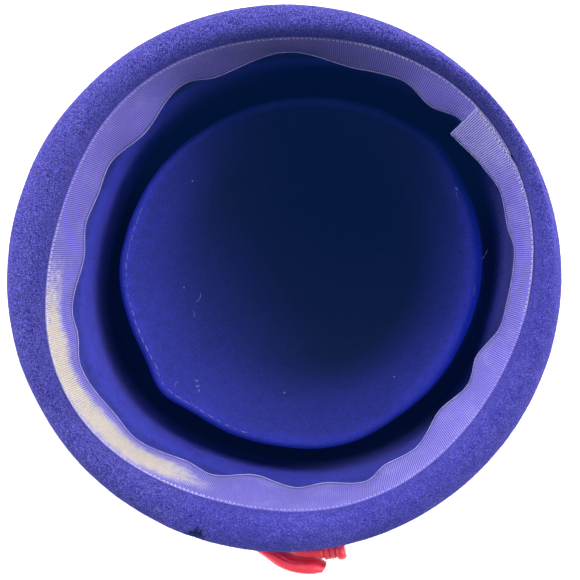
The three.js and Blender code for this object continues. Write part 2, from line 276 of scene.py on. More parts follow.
@dataclass(frozen=True)
class HatForm:
    """Form of the felt: its section from crown tip to brim edge, and how it strays from round."""

    felt: float = 2.2
    tip_height: float = 6.0
    dish_power: float = 2.3
    dish_steps: int = 24
    crease: Turn = Turn(72.6, 31.5)
    crease_bend: float = 5.0
    crease_flare: float = 0.6
    ridge_in: Turn = Turn(76.2, 1.1)
    ridge_in_bend: float = 2.6
    ridge_out: Turn = Turn(88.8, 1.1)
    ridge_out_bend: float = 6.0
    wall_top: Turn = Turn(90.1, 91.5)
    roll_rise: Turn = Turn(90.6, 101.2)
    roll_crown: Turn = Turn(95.8, 100.2)
    roll_turn: Turn = Turn(100.8, 99.4)
    roll_side: Turn = Turn(100.7, 88.0)
    brim_edge: Turn = Turn(99.6, 77.0)
    wall_waves: tuple[Wave, ...] = (Wave(2, 3.0, 32), Wave(4, 1.5, 31), Wave(5, 0.5, -8))
    outline_waves: tuple[Wave, ...] = (Wave(2, 1.0, 15),)
    crease_waves: tuple[Wave, ...] = (Wave(2, 1.7, 26), Wave(3, 0.6, 41))
    crease_corners: tuple[Corner, ...] = (
        Corner(43, 1.8, 9),
        Corner(178, 1.2, 14),
        Corner(221, 3.0, 8),
        Corner(284, 1.6, 14),
    )
    outline_shift: tuple[float, float] = (-3.7, -2.3)
    wall_shift: tuple[float, float] = (-1.6, -0.4)
    crease_shift: tuple[float, float] = (-1.2, -0.9)
    brim_out: Ease = Ease(93.0, 101.0)
    crease_out: Ease = Ease(79.0, 87.0)
    crease_up: Ease = Ease(36.0, 50.0)
    rim_up: Ease = Ease(55.0, 95.0)
    rim_sag: Wave = Wave(2, 0.8, 120)
    wall_from: Turn = Turn(84.8, 12.0)

    def settle(self, radius: Number, bearing: Number, height: Number) -> Array:
        """Moves points of the round hat to where the uneven, oval hat has them.

        Args:
            radius: distance from the axis of the round hat.
            bearing: direction from the axis, in degrees.
            height: height above the surface that the hat lies on.

        Returns:
            Places in millimetres, three numbers for each point.
        """
        radius, bearing, height = np.broadcast_arrays(radius, bearing, height)
        brim = self.brim_out.on(radius)
        crease = self.crease_out.off(radius) * self.crease_up.off(height)
        wall = (1.0 - brim) * (1.0 - crease)
        dish = np.minimum(1.0, radius / self.crease.radius) ** 2
        out = (
            radius
            + brim * pushed(self.outline_waves, bearing)
            + wall * pushed(self.wall_waves, bearing)
            + crease * dish * pushed(self.crease_waves + self.crease_corners, bearing)
        )
        angle = np.radians(bearing)
        places = [out * np.cos(angle), out * np.sin(angle)]
        for axis in (0, 1):
            shift = brim * self.outline_shift[axis] + wall * self.wall_shift[axis]
            places[axis] = places[axis] + shift + crease * self.crease_shift[axis]
        sagged = height + self.rim_up.on(height) * self.rim_sag.out(bearing)
        return np.stack([*places, sagged], axis=-1)

    def middle_line(self) -> Array:
        """Middle line of the felt, from the tip of the crown to the raw edge of the brim."""
        crease = self.crease
        share = np.linspace(0.0, 1.0, self.dish_steps + 1)
        rise = crease.height - self.tip_height - self.crease_bend / 2
        radii = (crease.radius - self.crease_bend) * share
        points = list(np.stack([radii, self.tip_height + rise * share**self.dish_power], axis=1))
        crease_bend = [
            Turn(crease.radius - self.crease_bend / 2, crease.height),
            crease,
            Turn(crease.radius + self.crease_flare, crease.height - self.crease_bend),
        ]
        low = self.ridge_in.height
        groove_wall = Turn(self.ridge_in.radius, low + self.ridge_in_bend)
        flat_from = Turn(self.ridge_in.radius + self.ridge_in_bend, low)
        flat_to = Turn(self.ridge_out.radius - self.ridge_out_bend, low)
        wall_foot = Turn(self.ridge_out.radius, low + self.ridge_out_bend)
        legs = (
            (crease_bend, 10),
            ([groove_wall], 8),
            ([self.ridge_in, flat_from], 5),
            ([flat_to], 2),
            ([self.ridge_out, wall_foot], 7),
            ([self.wall_top], 22),
            ([self.roll_rise, self.roll_crown], 11),
            ([self.roll_turn, self.roll_side], 13),
            ([self.brim_edge], 8),
        )
        for controls, steps in legs:
            points += leg(points[-1], controls, steps)
        return np.array(points)

    @staticmethod
    def right_of(line: Array) -> Array:
        """Direction square to a line at each of its points, on its right."""
        along = np.gradient(line, axis=0)
        along /= np.linalg.norm(along, axis=1, keepdims=True)
        across = np.stack([along[:, 1], -along[:, 0]], axis=1)
        across[0] = (0.0, -1.0)
        return across

    def face(self, side: float) -> Array:
        """Section line of one face: -1 for the face that shows from above, 1 for the other."""
        line = self.middle_line()
        return line + self.right_of(line) * side * self.felt / 2

    def dish_top(self, radius: Array) -> Array:
        """Height of the dish's upper face at each radius."""
        face = self.face(-1.0)
        crown = int(np.argmax(face[: len(face) // 2, 1]))
        return np.interp(radius, face[: crown + 1, 0], face[: crown + 1, 1])

    def head_side(self, height: Array) -> Array:
        """Radius of the face that the wearer's head touches, on the wall and the lower roll."""
        face = self.face(-1.0)
        rising = face[(face[:, 0] > self.wall_from.radius) & (face[:, 1] > self.wall_from.height)]
        wall = rising[: int(np.argmax(rising[:, 1])) + 1]
        return np.interp(height, wall[:, 1], wall[:, 0])

    def brim_outside(self, height: Array) -> Array:
        """Radius of the brim's outer face at each height of its straight side."""
        share = (height - self.brim_edge.height) / (self.roll_side.height - self.brim_edge.height)
        return lerp(self.brim_edge.radius, self.roll_side.radius, share) + self.felt / 2


@dataclass(frozen=True)
class Placing:
    """Where the hat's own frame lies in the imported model's frame, in millimetres."""

    shift: Triple

    @staticmethod
    def on(form: HatForm) -> "Placing":
        """Finds the shift that puts the form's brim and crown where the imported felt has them."""
        low, high = (np.array(corner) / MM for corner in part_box("felt_body"))
        around = np.arange(0.0, 360.0, 1.0)
        section = np.concatenate([form.face(1.0), form.face(-1.0)])
        skin = form.settle(section[:, :1], around[None, :], section[:, 1:]).reshape(-1, 3)
        middle = (skin.min(axis=0) + skin.max(axis=0)) / 2
        packed = (low + high) / 2
        return Placing((packed[0] - middle[0], packed[1] - middle[1], low[2]))

    def metres(self, points: Array) -> Array:
        """Places of the hat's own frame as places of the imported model's frame."""
        return (points + np.array(self.shift)) * MM


class NodeSheet:
    """Material that is being laid out node by node round one Principled shader."""

    def __init__(self, name: str) -> None:
        """Makes the material with an empty shader."""
        self.material = bpy.data.materials.new(name)
        self.material.use_nodes = True
        self.tree = self.material.node_tree
        self.tree.nodes.clear()
        self.shader = self.tree.nodes.new("ShaderNodeBsdfPrincipled")
        output = self.tree.nodes.new("ShaderNodeOutputMaterial")
        self.tree.links.new(self.shader.outputs["BSDF"], output.inputs["Surface"])

    def set(self, **sockets: float | Colour) -> None:
        """Sets the shader's own sockets: underscores in a name stand for spaces."""
        for name, value in sockets.items():
            self.put(self.shader.inputs[name.replace("_", " ")], value)

    def feed(self, socket: str, source: Socket) -> None:
        """Links a source to one of the shader's sockets."""
        self.tree.links.new(source, self.shader.inputs[socket])

    def put(self, target: Socket, value: Source | Tint) -> None:
        """Links or sets one socket of a node."""
        if isinstance(value, Socket):
            self.tree.links.new(value, target)
        elif isinstance(value, tuple) and target.type == "RGBA":
            target.default_value = (*value, 1.0)
        else:
            target.default_value = value

    def node(
        self, kind: str, inputs: dict[str | int, Source | Tint], **settings: str
    ) -> bpy.types.Node:
        """Adds one node.

        Args:
            kind: the node's type, without its first part.
            inputs: what each of its input sockets is linked or set to.
            settings: its own settings.

        Returns:
            The node.
        """
        node = self.tree.nodes.new(f"ShaderNode{kind}")
        for name, value in settings.items():
            setattr(node, name, value)
        for name, value in inputs.items():
            self.put(node.inputs[name], value)
        return node

    def attribute(self, name: str) -> Socket:
        """Value that the mesh carries under a name."""
        return self.node("Attribute", {}, attribute_name=name).outputs["Fac"]

    def noise(
        self, size: float, detail: float = 2.0, rough: float = 0.5, stretch: Triple = (1.0, 1.0, 1.0)
    ) -> Socket:
        """Cloudy pattern in the object's own space.

        Args:
            size: width of a lump in millimetres.
            detail: number of finer layers.
            rough: strength of the finer layers.
            stretch: how much closer the lumps lie along each axis.

        Returns:
            A value from about -0.5 to 0.5.
        """
        place = self.node("TexCoord", {}).outputs["Object"]
        place = self.node("Mapping", {"Vector": place, "Scale": stretch}).outputs["Vector"]
        inputs = {"Vector": place, "Scale": 1.0 / (size * MM), "Detail": detail, "Roughness": rough}
        return self.math("SUBTRACT", self.node("TexNoise", inputs).outputs["Fac"], 0.5)

    def math(self, operation: str, first: Source, second: Source = 0.0) -> Socket:
        """Result of one sum on two values."""
        return self.node("Math", {0: first, 1: second}, operation=operation).outputs[0]

    def times(self, first: Socket, second: Source) -> Socket:
        """Product of two values."""
        return self.math("MULTIPLY", first, second)

    def total(self, *parts: tuple[Socket, float]) -> Socket:
        """Sum of several patterns, each with its own weight."""
        result = self.times(*parts[0])
        for pattern, weight in parts[1:]:
            result = self.math("ADD", result, self.times(pattern, weight))
        return result

    def spread(
        self, value: Socket, low: float, high: float, start: float = 0.0, end: float = 1.0
    ) -> Socket:
        """Eases a value from start at low to end at high."""
        inputs = {"Value": value, "From Min": low, "From Max": high, "To Min": start, "To Max": end}
        return self.node("MapRange", inputs, interpolation_type="SMOOTHSTEP").outputs["Result"]

    def mix(self, share: Source, first: Tint, second: Tint) -> Socket:
        """Colour part of the way from the first to the second."""
        return self.node("Mix", {0: share, 6: first, 7: second}, data_type="RGBA").outputs[2]

    def scale(self, colour: Tint, factor: Source) -> Socket:
        """Colour made lighter or darker by a factor."""
        return self.node("VectorMath", {0: colour, "Scale": factor}, operation="SCALE").outputs[0]

    def bump(self, height: Socket, depth: float) -> None:
        """Feeds the shader's normal with a relief of a depth in millimetres."""
        node = self.node("Bump", {"Height": height, "Distance": depth * MM, "Strength": 1.0})
        self.feed("Normal", node.outputs["Normal"])


class Slot(Enum):
    """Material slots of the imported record."""

    FELT = "felt"
    RIBBON = "ribbon"
    TRIM = "trim"


class Finish(Protocol):
    """What every finish offers: its material slot and its material."""

    slot: Slot

    def material(self) -> bpy.types.Material:
        """Lays out the material."""


@dataclass(frozen=True)
class FeltFinish:
    """Royal blue wool felt: a coarse speckled nap on the brim, smooth and darker inside, with painted
    light and shade inside the crown.

    The deep and foot colours are faint lights that stand in for the room's light in the crown.
    """

    slot: Slot = Slot.FELT
    root: Colour = (0.008, 0.006, 0.09)
    body: Colour = (0.074, 0.060, 0.60)
    tip: Colour = (0.31, 0.265, 1.0)
    # wall and dish: the lining's colours; the dish's is darker as painted shade deeper in the crown
    wall: Colour = (0.070, 0.073, 0.61)
    dish: Colour = (0.040, 0.041, 0.37)
    # moth: near-black painted shade inside the bitten pit
    moth: Colour = (0.002, 0.002, 0.015)
    deep: Colour = (0.0006, 0.0086, 0.045)
    foot: Colour = (0.052, 0.052, 0.22)
    sheen: Colour = (0.40, 0.36, 1.0)
    fine_size: float = 0.34
    speck_size: float = 0.85
    clump_size: float = 3.4
    dye_size: float = 30.0
    grain_contrast: float = 2.1
    soft_contrast: float = 1.1
    relief: float = 0.7

    def material(self) -> bpy.types.Material:
        """Lays out the felt from nap, cloudy dye, depth, painted light and shade, and moth bite."""
        sheet = NodeSheet("wool_felt")
        depth = sheet.attribute("depth")
        soft = sheet.attribute("soft")
        fine = sheet.noise(self.fine_size, rough=0.7)
        speck = sheet.noise(self.speck_size, rough=0.6)
        clump = sheet.noise(self.clump_size)
        dye = sheet.noise(self.dye_size)
        grain = sheet.total((fine, 2.2), (speck, 0.5))
        contrast = sheet.spread(soft, 0.0, 1.0, self.grain_contrast, self.soft_contrast)
        strong = sheet.times(grain, contrast)
        tone = sheet.total((strong, 1.0), (clump, 0.28), (dye, 0.25), (soft, 0.04))
        brim = sheet.mix(sheet.spread(tone, 0.02, 0.52), self.body, self.tip)
        brim = sheet.mix(sheet.spread(tone, -0.48, 0.02, 1.0, 0.0), brim, self.root)
        mottle = sheet.total((grain, 1.2), (clump, 0.55), (dye, 0.4))
        mottle = sheet.times(mottle, sheet.spread(depth, 0.0, 1.0, 1.4, 0.9))
        mottle = sheet.math("MAXIMUM", sheet.math("ADD", mottle, 1.0), 0.2)
        lining = sheet.scale(sheet.mix(depth, self.wall, self.dish), mottle)
        colour = sheet.mix(sheet.spread(sheet.attribute("nap"), 0.15, 0.75), lining, brim)
        # painted light and shade inside the crown, from the shade value
        colour = sheet.scale(colour, sheet.attribute("shade"))
        # painted shade inside the moth bite's pit
        sheet.feed("Base Color", sheet.mix(sheet.attribute("bite"), colour, self.moth))
        sheet.set(Roughness=0.92, Specular_IOR_Level=0.15, Emission_Strength=1.0)
        sheet.set(Sheen_Weight=0.18, Sheen_Roughness=0.45, Sheen_Tint=self.sheen)
        deep = sheet.scale(self.deep, sheet.attribute("glow"))
        foot = sheet.scale(self.foot, mottle)
        sheet.feed("Emission Color", sheet.mix(sheet.attribute("foot"), deep, foot))
        sheet.bump(sheet.total((grain, 1.0), (clump, 0.6)), self.relief)
        return sheet.material


@dataclass(frozen=True)
class FibreFinish:
    """Loose wool fibres, each with its own tone from dark root to pale tip."""

    slot: Slot = Slot.FELT
    dark: Colour = (0.010, 0.007, 0.11)
    body: Colour = (0.068, 0.057, 0.51)
    pale: Colour = (0.50, 0.45, 1.0)

    def material(self) -> bpy.types.Material:
        """Lays out the fibres from the tone that each one carries."""
        sheet = NodeSheet("wool_fibre")
        streak = sheet.noise(0.30, rough=0.6)
        tone = sheet.total((sheet.attribute("tone"), 1.0), (streak, 0.3))
        colour = sheet.mix(sheet.spread(tone, 0.0, 0.5), self.dark, self.body)
        colour = sheet.mix(sheet.spread(tone, 0.62, 1.0), colour, self.pale)
        # the fibres take the felt's painted light and shade
        sheet.feed("Base Color", sheet.scale(colour, sheet.attribute("shade")))
        sheet.set(Roughness=0.85, Sheen_Weight=0.2, Specular_IOR_Level=0.2)
        sheet.bump(streak, 0.03)
        return sheet.material


@dataclass(frozen=True)
class GrosgrainFinish:
    """Blue-violet grosgrain: light ribs with painted shade in the valleys between them, and a cream
    make-up stain.
    """

    slot: Slot = Slot.RIBBON
    valley_shade: Colour = (0.008, 0.006, 0.30)
    rib: Colour = (0.375, 0.31, 1.0)
    # pale colour of the painted highlight on the lapped end, and of faded patches
    painted_light: Colour = (0.56, 0.52, 1.0)
    stain: Colour = (1.0, 0.90, 0.60)
    # stain_valley: partly painted shade between the ribs, partly make-up caught in the valleys
    stain_valley: Colour = (0.50, 0.34, 0.22)
    stain_edge: Colour = (0.68, 0.62, 0.86)
    powder: Colour = (1.0, 0.96, 0.86)
    sheen: Colour = (0.8, 0.78, 1.0)
    # glow: painted light, a faint blue glow that lifts the ribbon's shade
    glow: Colour = (0.013, 0.19, 1.0)
    yarn_pitch: float = 0.40
    fibre_size: float = 0.45
    blotch_size: float = 2.6
    patch_size: float = 8.0

    def material(self) -> bpy.types.Material:
        """Lays out the ribbon from its ribs, yarns, painted highlight, fading, painted shade and
        stain.
        """
        sheet = NodeSheet("grosgrain")
        rib = sheet.attribute("rib")
        stain = sheet.attribute("stain")
        turns = sheet.times(sheet.attribute("across"), 2 * math.pi / self.yarn_pitch)
        yarn = sheet.math("SINE", turns)
        fibre = sheet.noise(self.fibre_size, 3.0, 0.65)
        blotch = sheet.noise(self.blotch_size, 3.0, 0.6)
        patch = sheet.noise(self.patch_size)
        top = sheet.spread(sheet.total((rib, 1.0), (fibre, 0.5), (yarn, 0.05)), 0.15, 0.95)
        colour = sheet.mix(top, self.valley_shade, self.rib)
        # painted highlight on the lapped end, with faded patches
        highlight_and_fade = sheet.total((sheet.attribute("highlight_and_fade"), 0.9), (sheet.spread(patch, -0.05, 0.25), 0.3))
        colour = sheet.mix(sheet.times(highlight_and_fade, top), colour, self.painted_light)
        # painted shade on the band at the back, under the roll
        colour = sheet.scale(colour, sheet.attribute("shade"))
        caught = sheet.math("SUBTRACT", rib, 0.55)
        soaked = sheet.total((stain, 1.15), (fibre, 2.3), (blotch, 1.4), (patch, 0.7), (caught, 0.8))
        halo = sheet.times(sheet.spread(soaked, 0.10, 0.75), sheet.spread(stain, 0.0, 0.35))
        core = sheet.times(sheet.spread(soaked, 0.40, 1.15), sheet.spread(stain, 0.1, 0.6))
        colour = sheet.mix(sheet.times(halo, 0.8), colour, self.stain_edge)
        # stain darker in the valleys: partly painted shade, partly make-up caught there
        clogged = sheet.mix(sheet.spread(rib, 0.15, 0.9), self.stain_valley, self.stain)
        caked = sheet.spread(sheet.total((blotch, 1.0), (fibre, 1.6)), -0.1, 0.45, 0.0, 0.5)
        clogged = sheet.mix(caked, clogged, self.powder)
        sheet.feed("Base Color", sheet.mix(sheet.times(core, 0.95), colour, clogged))
        sheet.set(Roughness=0.62, Sheen_Weight=0.25, Sheen_Tint=self.sheen)
        sheet.set(Specular_IOR_Level=0.3, Emission_Color=self.glow, Emission_Strength=0.02)
        sheet.bump(sheet.total((yarn, 0.25), (fibre, 1.0)), 0.12)
        return sheet.material


@dataclass(frozen=True)
class ThreadFinish:
    """Twisted sewing thread or selvedge yarn in one colour."""

    name: str
    slot: Slot
    light: Colour
    shade: Colour

    def material(self) -> bpy.types.Material:
        """Lays out the thread with its ply twist and uneven dye."""
        sheet = NodeSheet(self.name)
        ply = sheet.noise(0.30, stretch=(1.0, 1.0, 2.2))
        tone = sheet.total((ply, 0.7), (sheet.noise(2.4, 1.0), 0.4))
        sheet.feed("Base Color", sheet.mix(sheet.spread(tone, -0.2, 0.2), self.shade, self.light))
        sheet.set(Roughness=0.6, Sheen_Weight=0.3, Specular_IOR_Level=0.3)
        sheet.bump(ply, 0.06)
        return sheet.material


@dataclass(frozen=True)
class TrimFinish:
    """Soft coral red trim: satin face, with painted shade: deeper red in its folds and on its side
    against the brim, near black inside.
    """

    slot: Slot = Slot.TRIM
    face: Colour = (1.0, 0.062, 0.10)
    bright: Colour = (1.0, 0.17, 0.19)
    # fold: painted shade in the folds and on the side against the brim
    fold: Colour = (0.42, 0.002, 0.035)
    # mouth: near-black painted shade inside the hollow loop
    mouth: Colour = (0.05, 0.0, 0.006)
    # glow: painted light, the trim glows faintly in its own colour
    glow: float = 0.15

    def material(self) -> bpy.types.Material:
        """Lays out the trim from the painted shade in its folds, grain and pale patches."""
        sheet = NodeSheet("red_trim")
        grain = sheet.noise(0.55, 3.0, 0.6)
        crease = sheet.noise(3.0, 3.0, stretch=(0.6, 3.0, 3.0))
        light = sheet.spread(sheet.total((sheet.noise(4.0), 1.0), (grain, 0.5)), -0.05, 0.25)
        colour = sheet.mix(sheet.times(light, 0.5), self.face, self.bright)
        deep = sheet.total((sheet.attribute("fold"), 1.25), (crease, 0.8))
        colour = sheet.mix(sheet.spread(deep, 0.15, 0.95), colour, self.fold)
        colour = sheet.mix(sheet.attribute("inside"), colour, self.mouth)
        sheet.feed("Base Color", colour)
        # painted light: the trim glows in its own colour
        sheet.feed("Emission Color", colour)
        sheet.set(Roughness=0.38, Sheen_Weight=0.1, Specular_IOR_Level=0.5)
        sheet.set(Emission_Strength=self.glow)
        sheet.bump(sheet.total((crease, 1.2), (grain, 0.5)), 0.15)
        return sheet.material


@dataclass(frozen=True)
class LintFinish:
    """Pale lint and hairs caught in the felt."""

    slot: Slot = Slot.FELT
    light: Colour = (0.62, 0.74, 0.95)
    shade: Colour = (0.28, 0.36, 0.70)

    def material(self) -> bpy.types.Material:
        """Lays out the lint with an uneven tone."""
        sheet = NodeSheet("lint")
        tone = sheet.noise(0.6)
        sheet.feed("Base Color", sheet.mix(sheet.spread(tone, -0.15, 0.15), self.shade, self.light))
        sheet.set(Roughness=0.8, Specular_IOR_Level=0.3)
        sheet.bump(tone, 0.05)
        return sheet.material


@dataclass(frozen=True)
class FloorFinish:
    """Seamless pale paper under the hat, lit from within so that it stays near white."""

    paper: Colour = (0.86, 0.86, 0.87)
    fibre: Colour = (0.92, 0.92, 0.92)
    light: Colour = (1.0, 1.0, 1.0)
    glow: float = 0.90

    def material(self) -> bpy.types.Material:
        """Lays out the paper with a faint fibre."""
        sheet = NodeSheet("pale_paper")
        fibre = sheet.math("ADD", sheet.noise(1.6, 3.0), 0.5)
        sheet.feed("Base Color", sheet.mix(fibre, self.paper, self.fibre))
        sheet.set(Roughness=0.95, Specular_IOR_Level=0.1)
        sheet.set(Emission_Color=self.light, Emission_Strength=self.glow)
        return sheet.material


@dataclass
class Maker:
    """Maker of one kind of piece: the hat's form, where it lies, and the piece's finish."""

    form: HatForm
    placing: Placing
    finish: Finish

    def make(
        self, name: str, blank: Blank, replaces: str = "", finish: Optional[Finish] = None
    ) -> bpy.types.Object:
        """Makes a blank into an object of the scene that rides with the hat.

        Args:
            name: the piece's name.
            blank: its corners, faces and values, in millimetres in the hat's own frame.
            replaces: the CAD node that it takes the place of.
            finish: its finish, where that isn't the maker's own.

        Returns:
            The new object.
        """
        finish = finish or self.finish
        mesh = bpy.data.meshes.new(name)
        corners = self.placing.metres(blank.corners)
        sizes = np.concatenate([np.full(len(block), block.shape[1]) for block in blank.faces])
        loops = np.concatenate([block.reshape(-1) for block in blank.faces])
        starts = np.concatenate([[0], np.cumsum(sizes)[:-1]])
        mesh.vertices.add(len(corners))
        mesh.vertices.foreach_set("co", corners.astype(np.float32).reshape(-1))
        mesh.loops.add(len(loops))
        mesh.loops.foreach_set("vertex_index", loops.astype(np.int32))
        mesh.polygons.add(len(sizes))
        mesh.polygons.foreach_set("loop_start", starts.astype(np.int32))
        mesh.update(calc_edges=True)
        mesh.polygons.foreach_set("use_smooth", np.ones(len(sizes), dtype=bool))
        for key, values in blank.values.items():
            layer = mesh.attributes.new(key, "FLOAT", "POINT")
            layer.data.foreach_set("value", values.astype(np.float32))
        mesh.validate()
        mesh.materials.append(finish.material())
        piece = bpy.data.objects.new(name, mesh)
        bpy.context.collection.objects.link(piece)
        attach(piece, "root")
        if replaces:
            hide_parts(replaces)
        log.info("%s: %d faces", name, len(mesh.polygons))
        return piece


@dataclass
class FeltBody(Maker):
    """Crown and brim as one skin of felt, with its pressed unevenness and the moth bite."""

    columns: int = 372
    unevenness: float = 0.45
    lump: float = 26.0
    fine_lumps: float = 0.4
    band_up: Ease = Ease(62.0, 70.0, 0.8)
    band_out: Ease = Ease(91.5, 96.0)
    trim_out: Ease = Ease(99.0, 100.5, 0.7)
    lifted: Ease = Ease(1.5, 9.0)
    off_tip: Ease = Ease(0.0, 12.0)
    edge_round: float = 0.35
    bite_bearing: float = 252.0
    bite_height: float = 97.6
    bite_half: float = 3.9
    bite_tall: float = 3.2
    bite_deep: float = 1.7
    bite_ragged: tuple[float, float] = (0.175, 0.125)
    bite_lip: Ease = Ease(0.35, 1.1)
    bite_out: Ease = Ease(95.5, 97.5)
    bite_columns: int = 22
    bite_degrees: float = 3.0
    column_gap: float = 0.2
    # Painted light and shade inside the crown, used by shade(): painted shade darkest at the tip and
    # back, painted light towards bearing 210 and the dish's edge, painted highlights on the lip and
    # crease line, painted shade on the wall, the roll's inner side and the groove's floor.
    darkest: float = 0.04
    dark_back: float = 4.0
    painted_light_bearing: float = 210.0
    painted_light_ramp: Ease = Ease(7.0, 56.0, 0.70)
    painted_edge_light: Ease = Ease(43.0, 63.5)
    dark_side: Side = Side(75.0, 25.0, 95.0)
    lip: Ease = Ease(62.0, 70.0, 0.55)
    lip_side: Side = Side(355.0, 25.0, 60.0)
    crease_line: Ease = Ease(69.0, 71.5)
    crease_highlight: float = 0.08
    crease_back: Side = Side(105.0, 45.0, 85.0, 0.30)
    dish_rise: Ease = Ease(48.0, 66.0, 0.40)
    dish_lip: Ease = Ease(66.0, 72.0, 0.8)
    above_dish: Ease = Ease(34.0, 50.0)
    wall_dark: Side = Side(88.0, 32.0, 85.0, 0.96)
    roll_dark: Side = Side(68.0, 25.0, 55.0, 0.5)
    roll_inner: Ease = Ease(90.0, 94.0)
    roll_up: Ease = Ease(84.0, 91.0)
    roll_top: Ease = Ease(94.5, 97.0)
    groove_side: Side = Side(5.0, 15.0, 40.0)
    groove_in: Ease = Ease(73.2, 74.6, 0.93)
    groove_up: Ease = Ease(20.0, 34.0)
    groove_lean: float = 0.1
    groove_line: tuple[float, float] = (81.0, 85.0)
    groove_fade: Ease = Ease(0.0, 5.0)
    smooth_from: Ease = Ease(225.0, 250.0)
    smooth_to: Ease = Ease(320.0, 345.0)
    nap_radius: float = 89.2
    nap_shift: float = 3.2
    nap_grows: Ease = Ease(0.0, 2.2)
    nap_up: Ease = Ease(84.0, 90.0)
    nap_brim: Ease = Ease(97.0, 99.0)
    nap_lip: Ease = Ease(85.0, 91.0, 0.8)
    nap_outside: float = 0.7
    soft_side: Side = Side(312.0, 50.0, 85.0)
    unlit_out: Ease = Ease(73.0, 76.0, 0.62)
    unlit_up: Ease = Ease(15.0, 50.0)
    unlit_side: Side = Side(85.0, 50.0, 80.0, 0.65)
    foot_line: tuple[float, float] = (82.0, 85.5)
    foot_grows: Ease = Ease(0.0, 5.5)
    foot_up: Ease = Ease(26.0, 62.0)
    foot_lights: tuple[Side, ...] = (
        Side(0.0, 0.0, 44.0, 0.60),
        Side(205.0, 0.0, 34.0, 0.20),
        Side(294.0, 0.0, 36.0, 0.36),
    )
    blank: Optional[Blank] = None

    def bearings(self) -> Array:
        """Bearings of the skin's columns, closer together at the moth bite."""
        even = np.arange(self.columns) * 360.0 / self.columns
        half = self.bite_degrees
        close = self.bite_bearing + np.linspace(-half, half, self.bite_columns)
        kept = even[np.abs(even - self.bite_bearing) > half + self.column_gap]
        return np.sort(np.concatenate([kept, close]))

    def lumps(self, middle: Array, around: Array) -> Array:
        """How far the skin bulges at each point of its section and bearing."""
        points = self.form.settle(middle[:, :1], around[None, :], middle[:, 1:])
        soft = cloud(points, self.lump) + self.fine_lumps * cloud(points, self.lump / 3.0, 7.0)
        radius, height = middle.T
        free = 1.0 - self.band_up.on(height) * self.band_out.off(radius)
        free = free * (1.0 - self.trim_out.on(radius))
        free = free * self.lifted.on(height) * self.off_tip.on(radius)
        return self.unevenness * free[:, None] * soft

    def bite(self, around: Array, height: Array, radius: Array) -> Array:
        """How strongly the moth bite has eaten each point of the brim's face, from 0 to 1."""
        arc = np.radians(around - self.bite_bearing) * radius
        along, up = self.bite_ragged
        ragged = along * np.sin(3.0 * arc + 0.7) + up * np.sin(4.1 * height)
        reach = (arc / self.bite_half) ** 2 + ((height - self.bite_height) / self.bite_tall) ** 2
        return self.bite_lip.off(reach + ragged) * self.bite_out.on(radius)

    def build(self) -> bpy.types.Object:
        """Builds the felt skin and puts it in place of its CAD node."""
        middle = self.form.middle_line()
        across = self.form.right_of(middle)
        around = self.bearings()
        bulge = self.lumps(middle, around)
        back, face = (
            middle[:, :, None] + across[:, :, None] * (side * self.form.felt / 2 + bulge)[:, None, :]
            for side in (1.0, -1.0)
        )
        eaten = self.bite(around[None, :], face[:, 1], face[:, 0])
        face = face + across[:, :, None] * (eaten * self.bite_deep)[:, None, :]
        edge = (back[-1:] + face[-1:]) / 2
        edge[:, 1] -= self.edge_round
        section = np.concatenate([back[1:], edge, face[:0:-1]])
        radii, heights = section[:, 0], section[:, 1]
        skin = self.form.settle(radii, around[None, :], heights)
        tips = [self.form.settle(0.0, 0.0, side[0, 1, 0]) for side in (back, face)]
        corners = np.concatenate([skin.reshape(-1, 3), np.array(tips)])
        values = self.values(radii, heights, around, eaten)
        self.blank = Blank(corners, closed_faces(*radii.shape), values)
        return self.make("felt_skin", self.blank, "felt_body")

    def beyond(self, ends: tuple[float, float], radii: Array, heights: Array, around: Array) -> Array:
        """How far each point lies outside a line along the groove, which swings between two radii."""
        line = lerp(*ends, self.groove_side.away(around))[None, :]
        return radii + self.groove_lean * heights - line

    def shade(self, radii: Array, heights: Array, around: Array) -> Array:
        """Share of its full colour that the felt inside the crown shows at each point.

        Painted light and shade: darkest at the tip and towards the back, lighter towards bearing 210
        and the dish's edge, with painted highlights on its right-hand lip and along the crease line,
        and painted shade on the wall and the roll's inner side at the back and on the groove's floor.

        Args:
            radii: round radius of each corner of the skin.
            heights: height of each corner.
            around: bearing of each column.

        Returns:
            One value for each corner: nearly 0 where it is darkest, 1 where the colour is full.
        """
        places = self.form.settle(radii, around[None, :], heights)
        x, y = places[..., 0], places[..., 1] - self.dark_back
        reach = np.hypot(x, y)
        turn = np.degrees(np.arctan2(y, x))
        # painted light towards bearing 210 and towards the dish's edge, painted shade at its middle
        # and back
        painted_light_way = math.radians(self.painted_light_bearing)
        broad = self.painted_light_ramp.on(x * math.cos(painted_light_way) + y * math.sin(painted_light_way))
        edge = self.painted_edge_light.on(reach) * self.dark_side.away(turn)
        # painted highlights on the right-hand lip and along the crease line, and painted light rising
        # towards the crease
        lip = self.lip.on(reach) * self.lip_side.near(turn)
        dish = lerp(self.darkest, 1.0, 1.0 - (1.0 - broad) * (1.0 - edge) + lip)
        dish = dish + (self.crease_highlight + self.crease_back.near(turn)) * self.crease_line.on(radii)
        dish = dish * (1.0 + self.dish_rise.on(radii) + self.dish_lip.on(radii))
        # painted shade on the wall and on the roll's inner side at the back
        wall = 1.0 - self.wall_dark.near(around)[None, :]
        inside = lerp(dish, wall, self.above_dish.on(heights))
        roll = 1.0 - self.roll_dark.near(around)[None, :] * self.roll_inner.off(radii)
        painted_light = lerp(inside, roll, self.roll_up.on(heights))
        # painted shade on the groove's floor
        beyond = self.beyond(self.groove_line, radii, heights, around)
        floor = self.groove_in.on(radii) * self.groove_fade.off(beyond) * self.groove_up.off(heights)
        return lerp(painted_light * (1.0 - floor), 1.0, self.roll_top.on(radii))

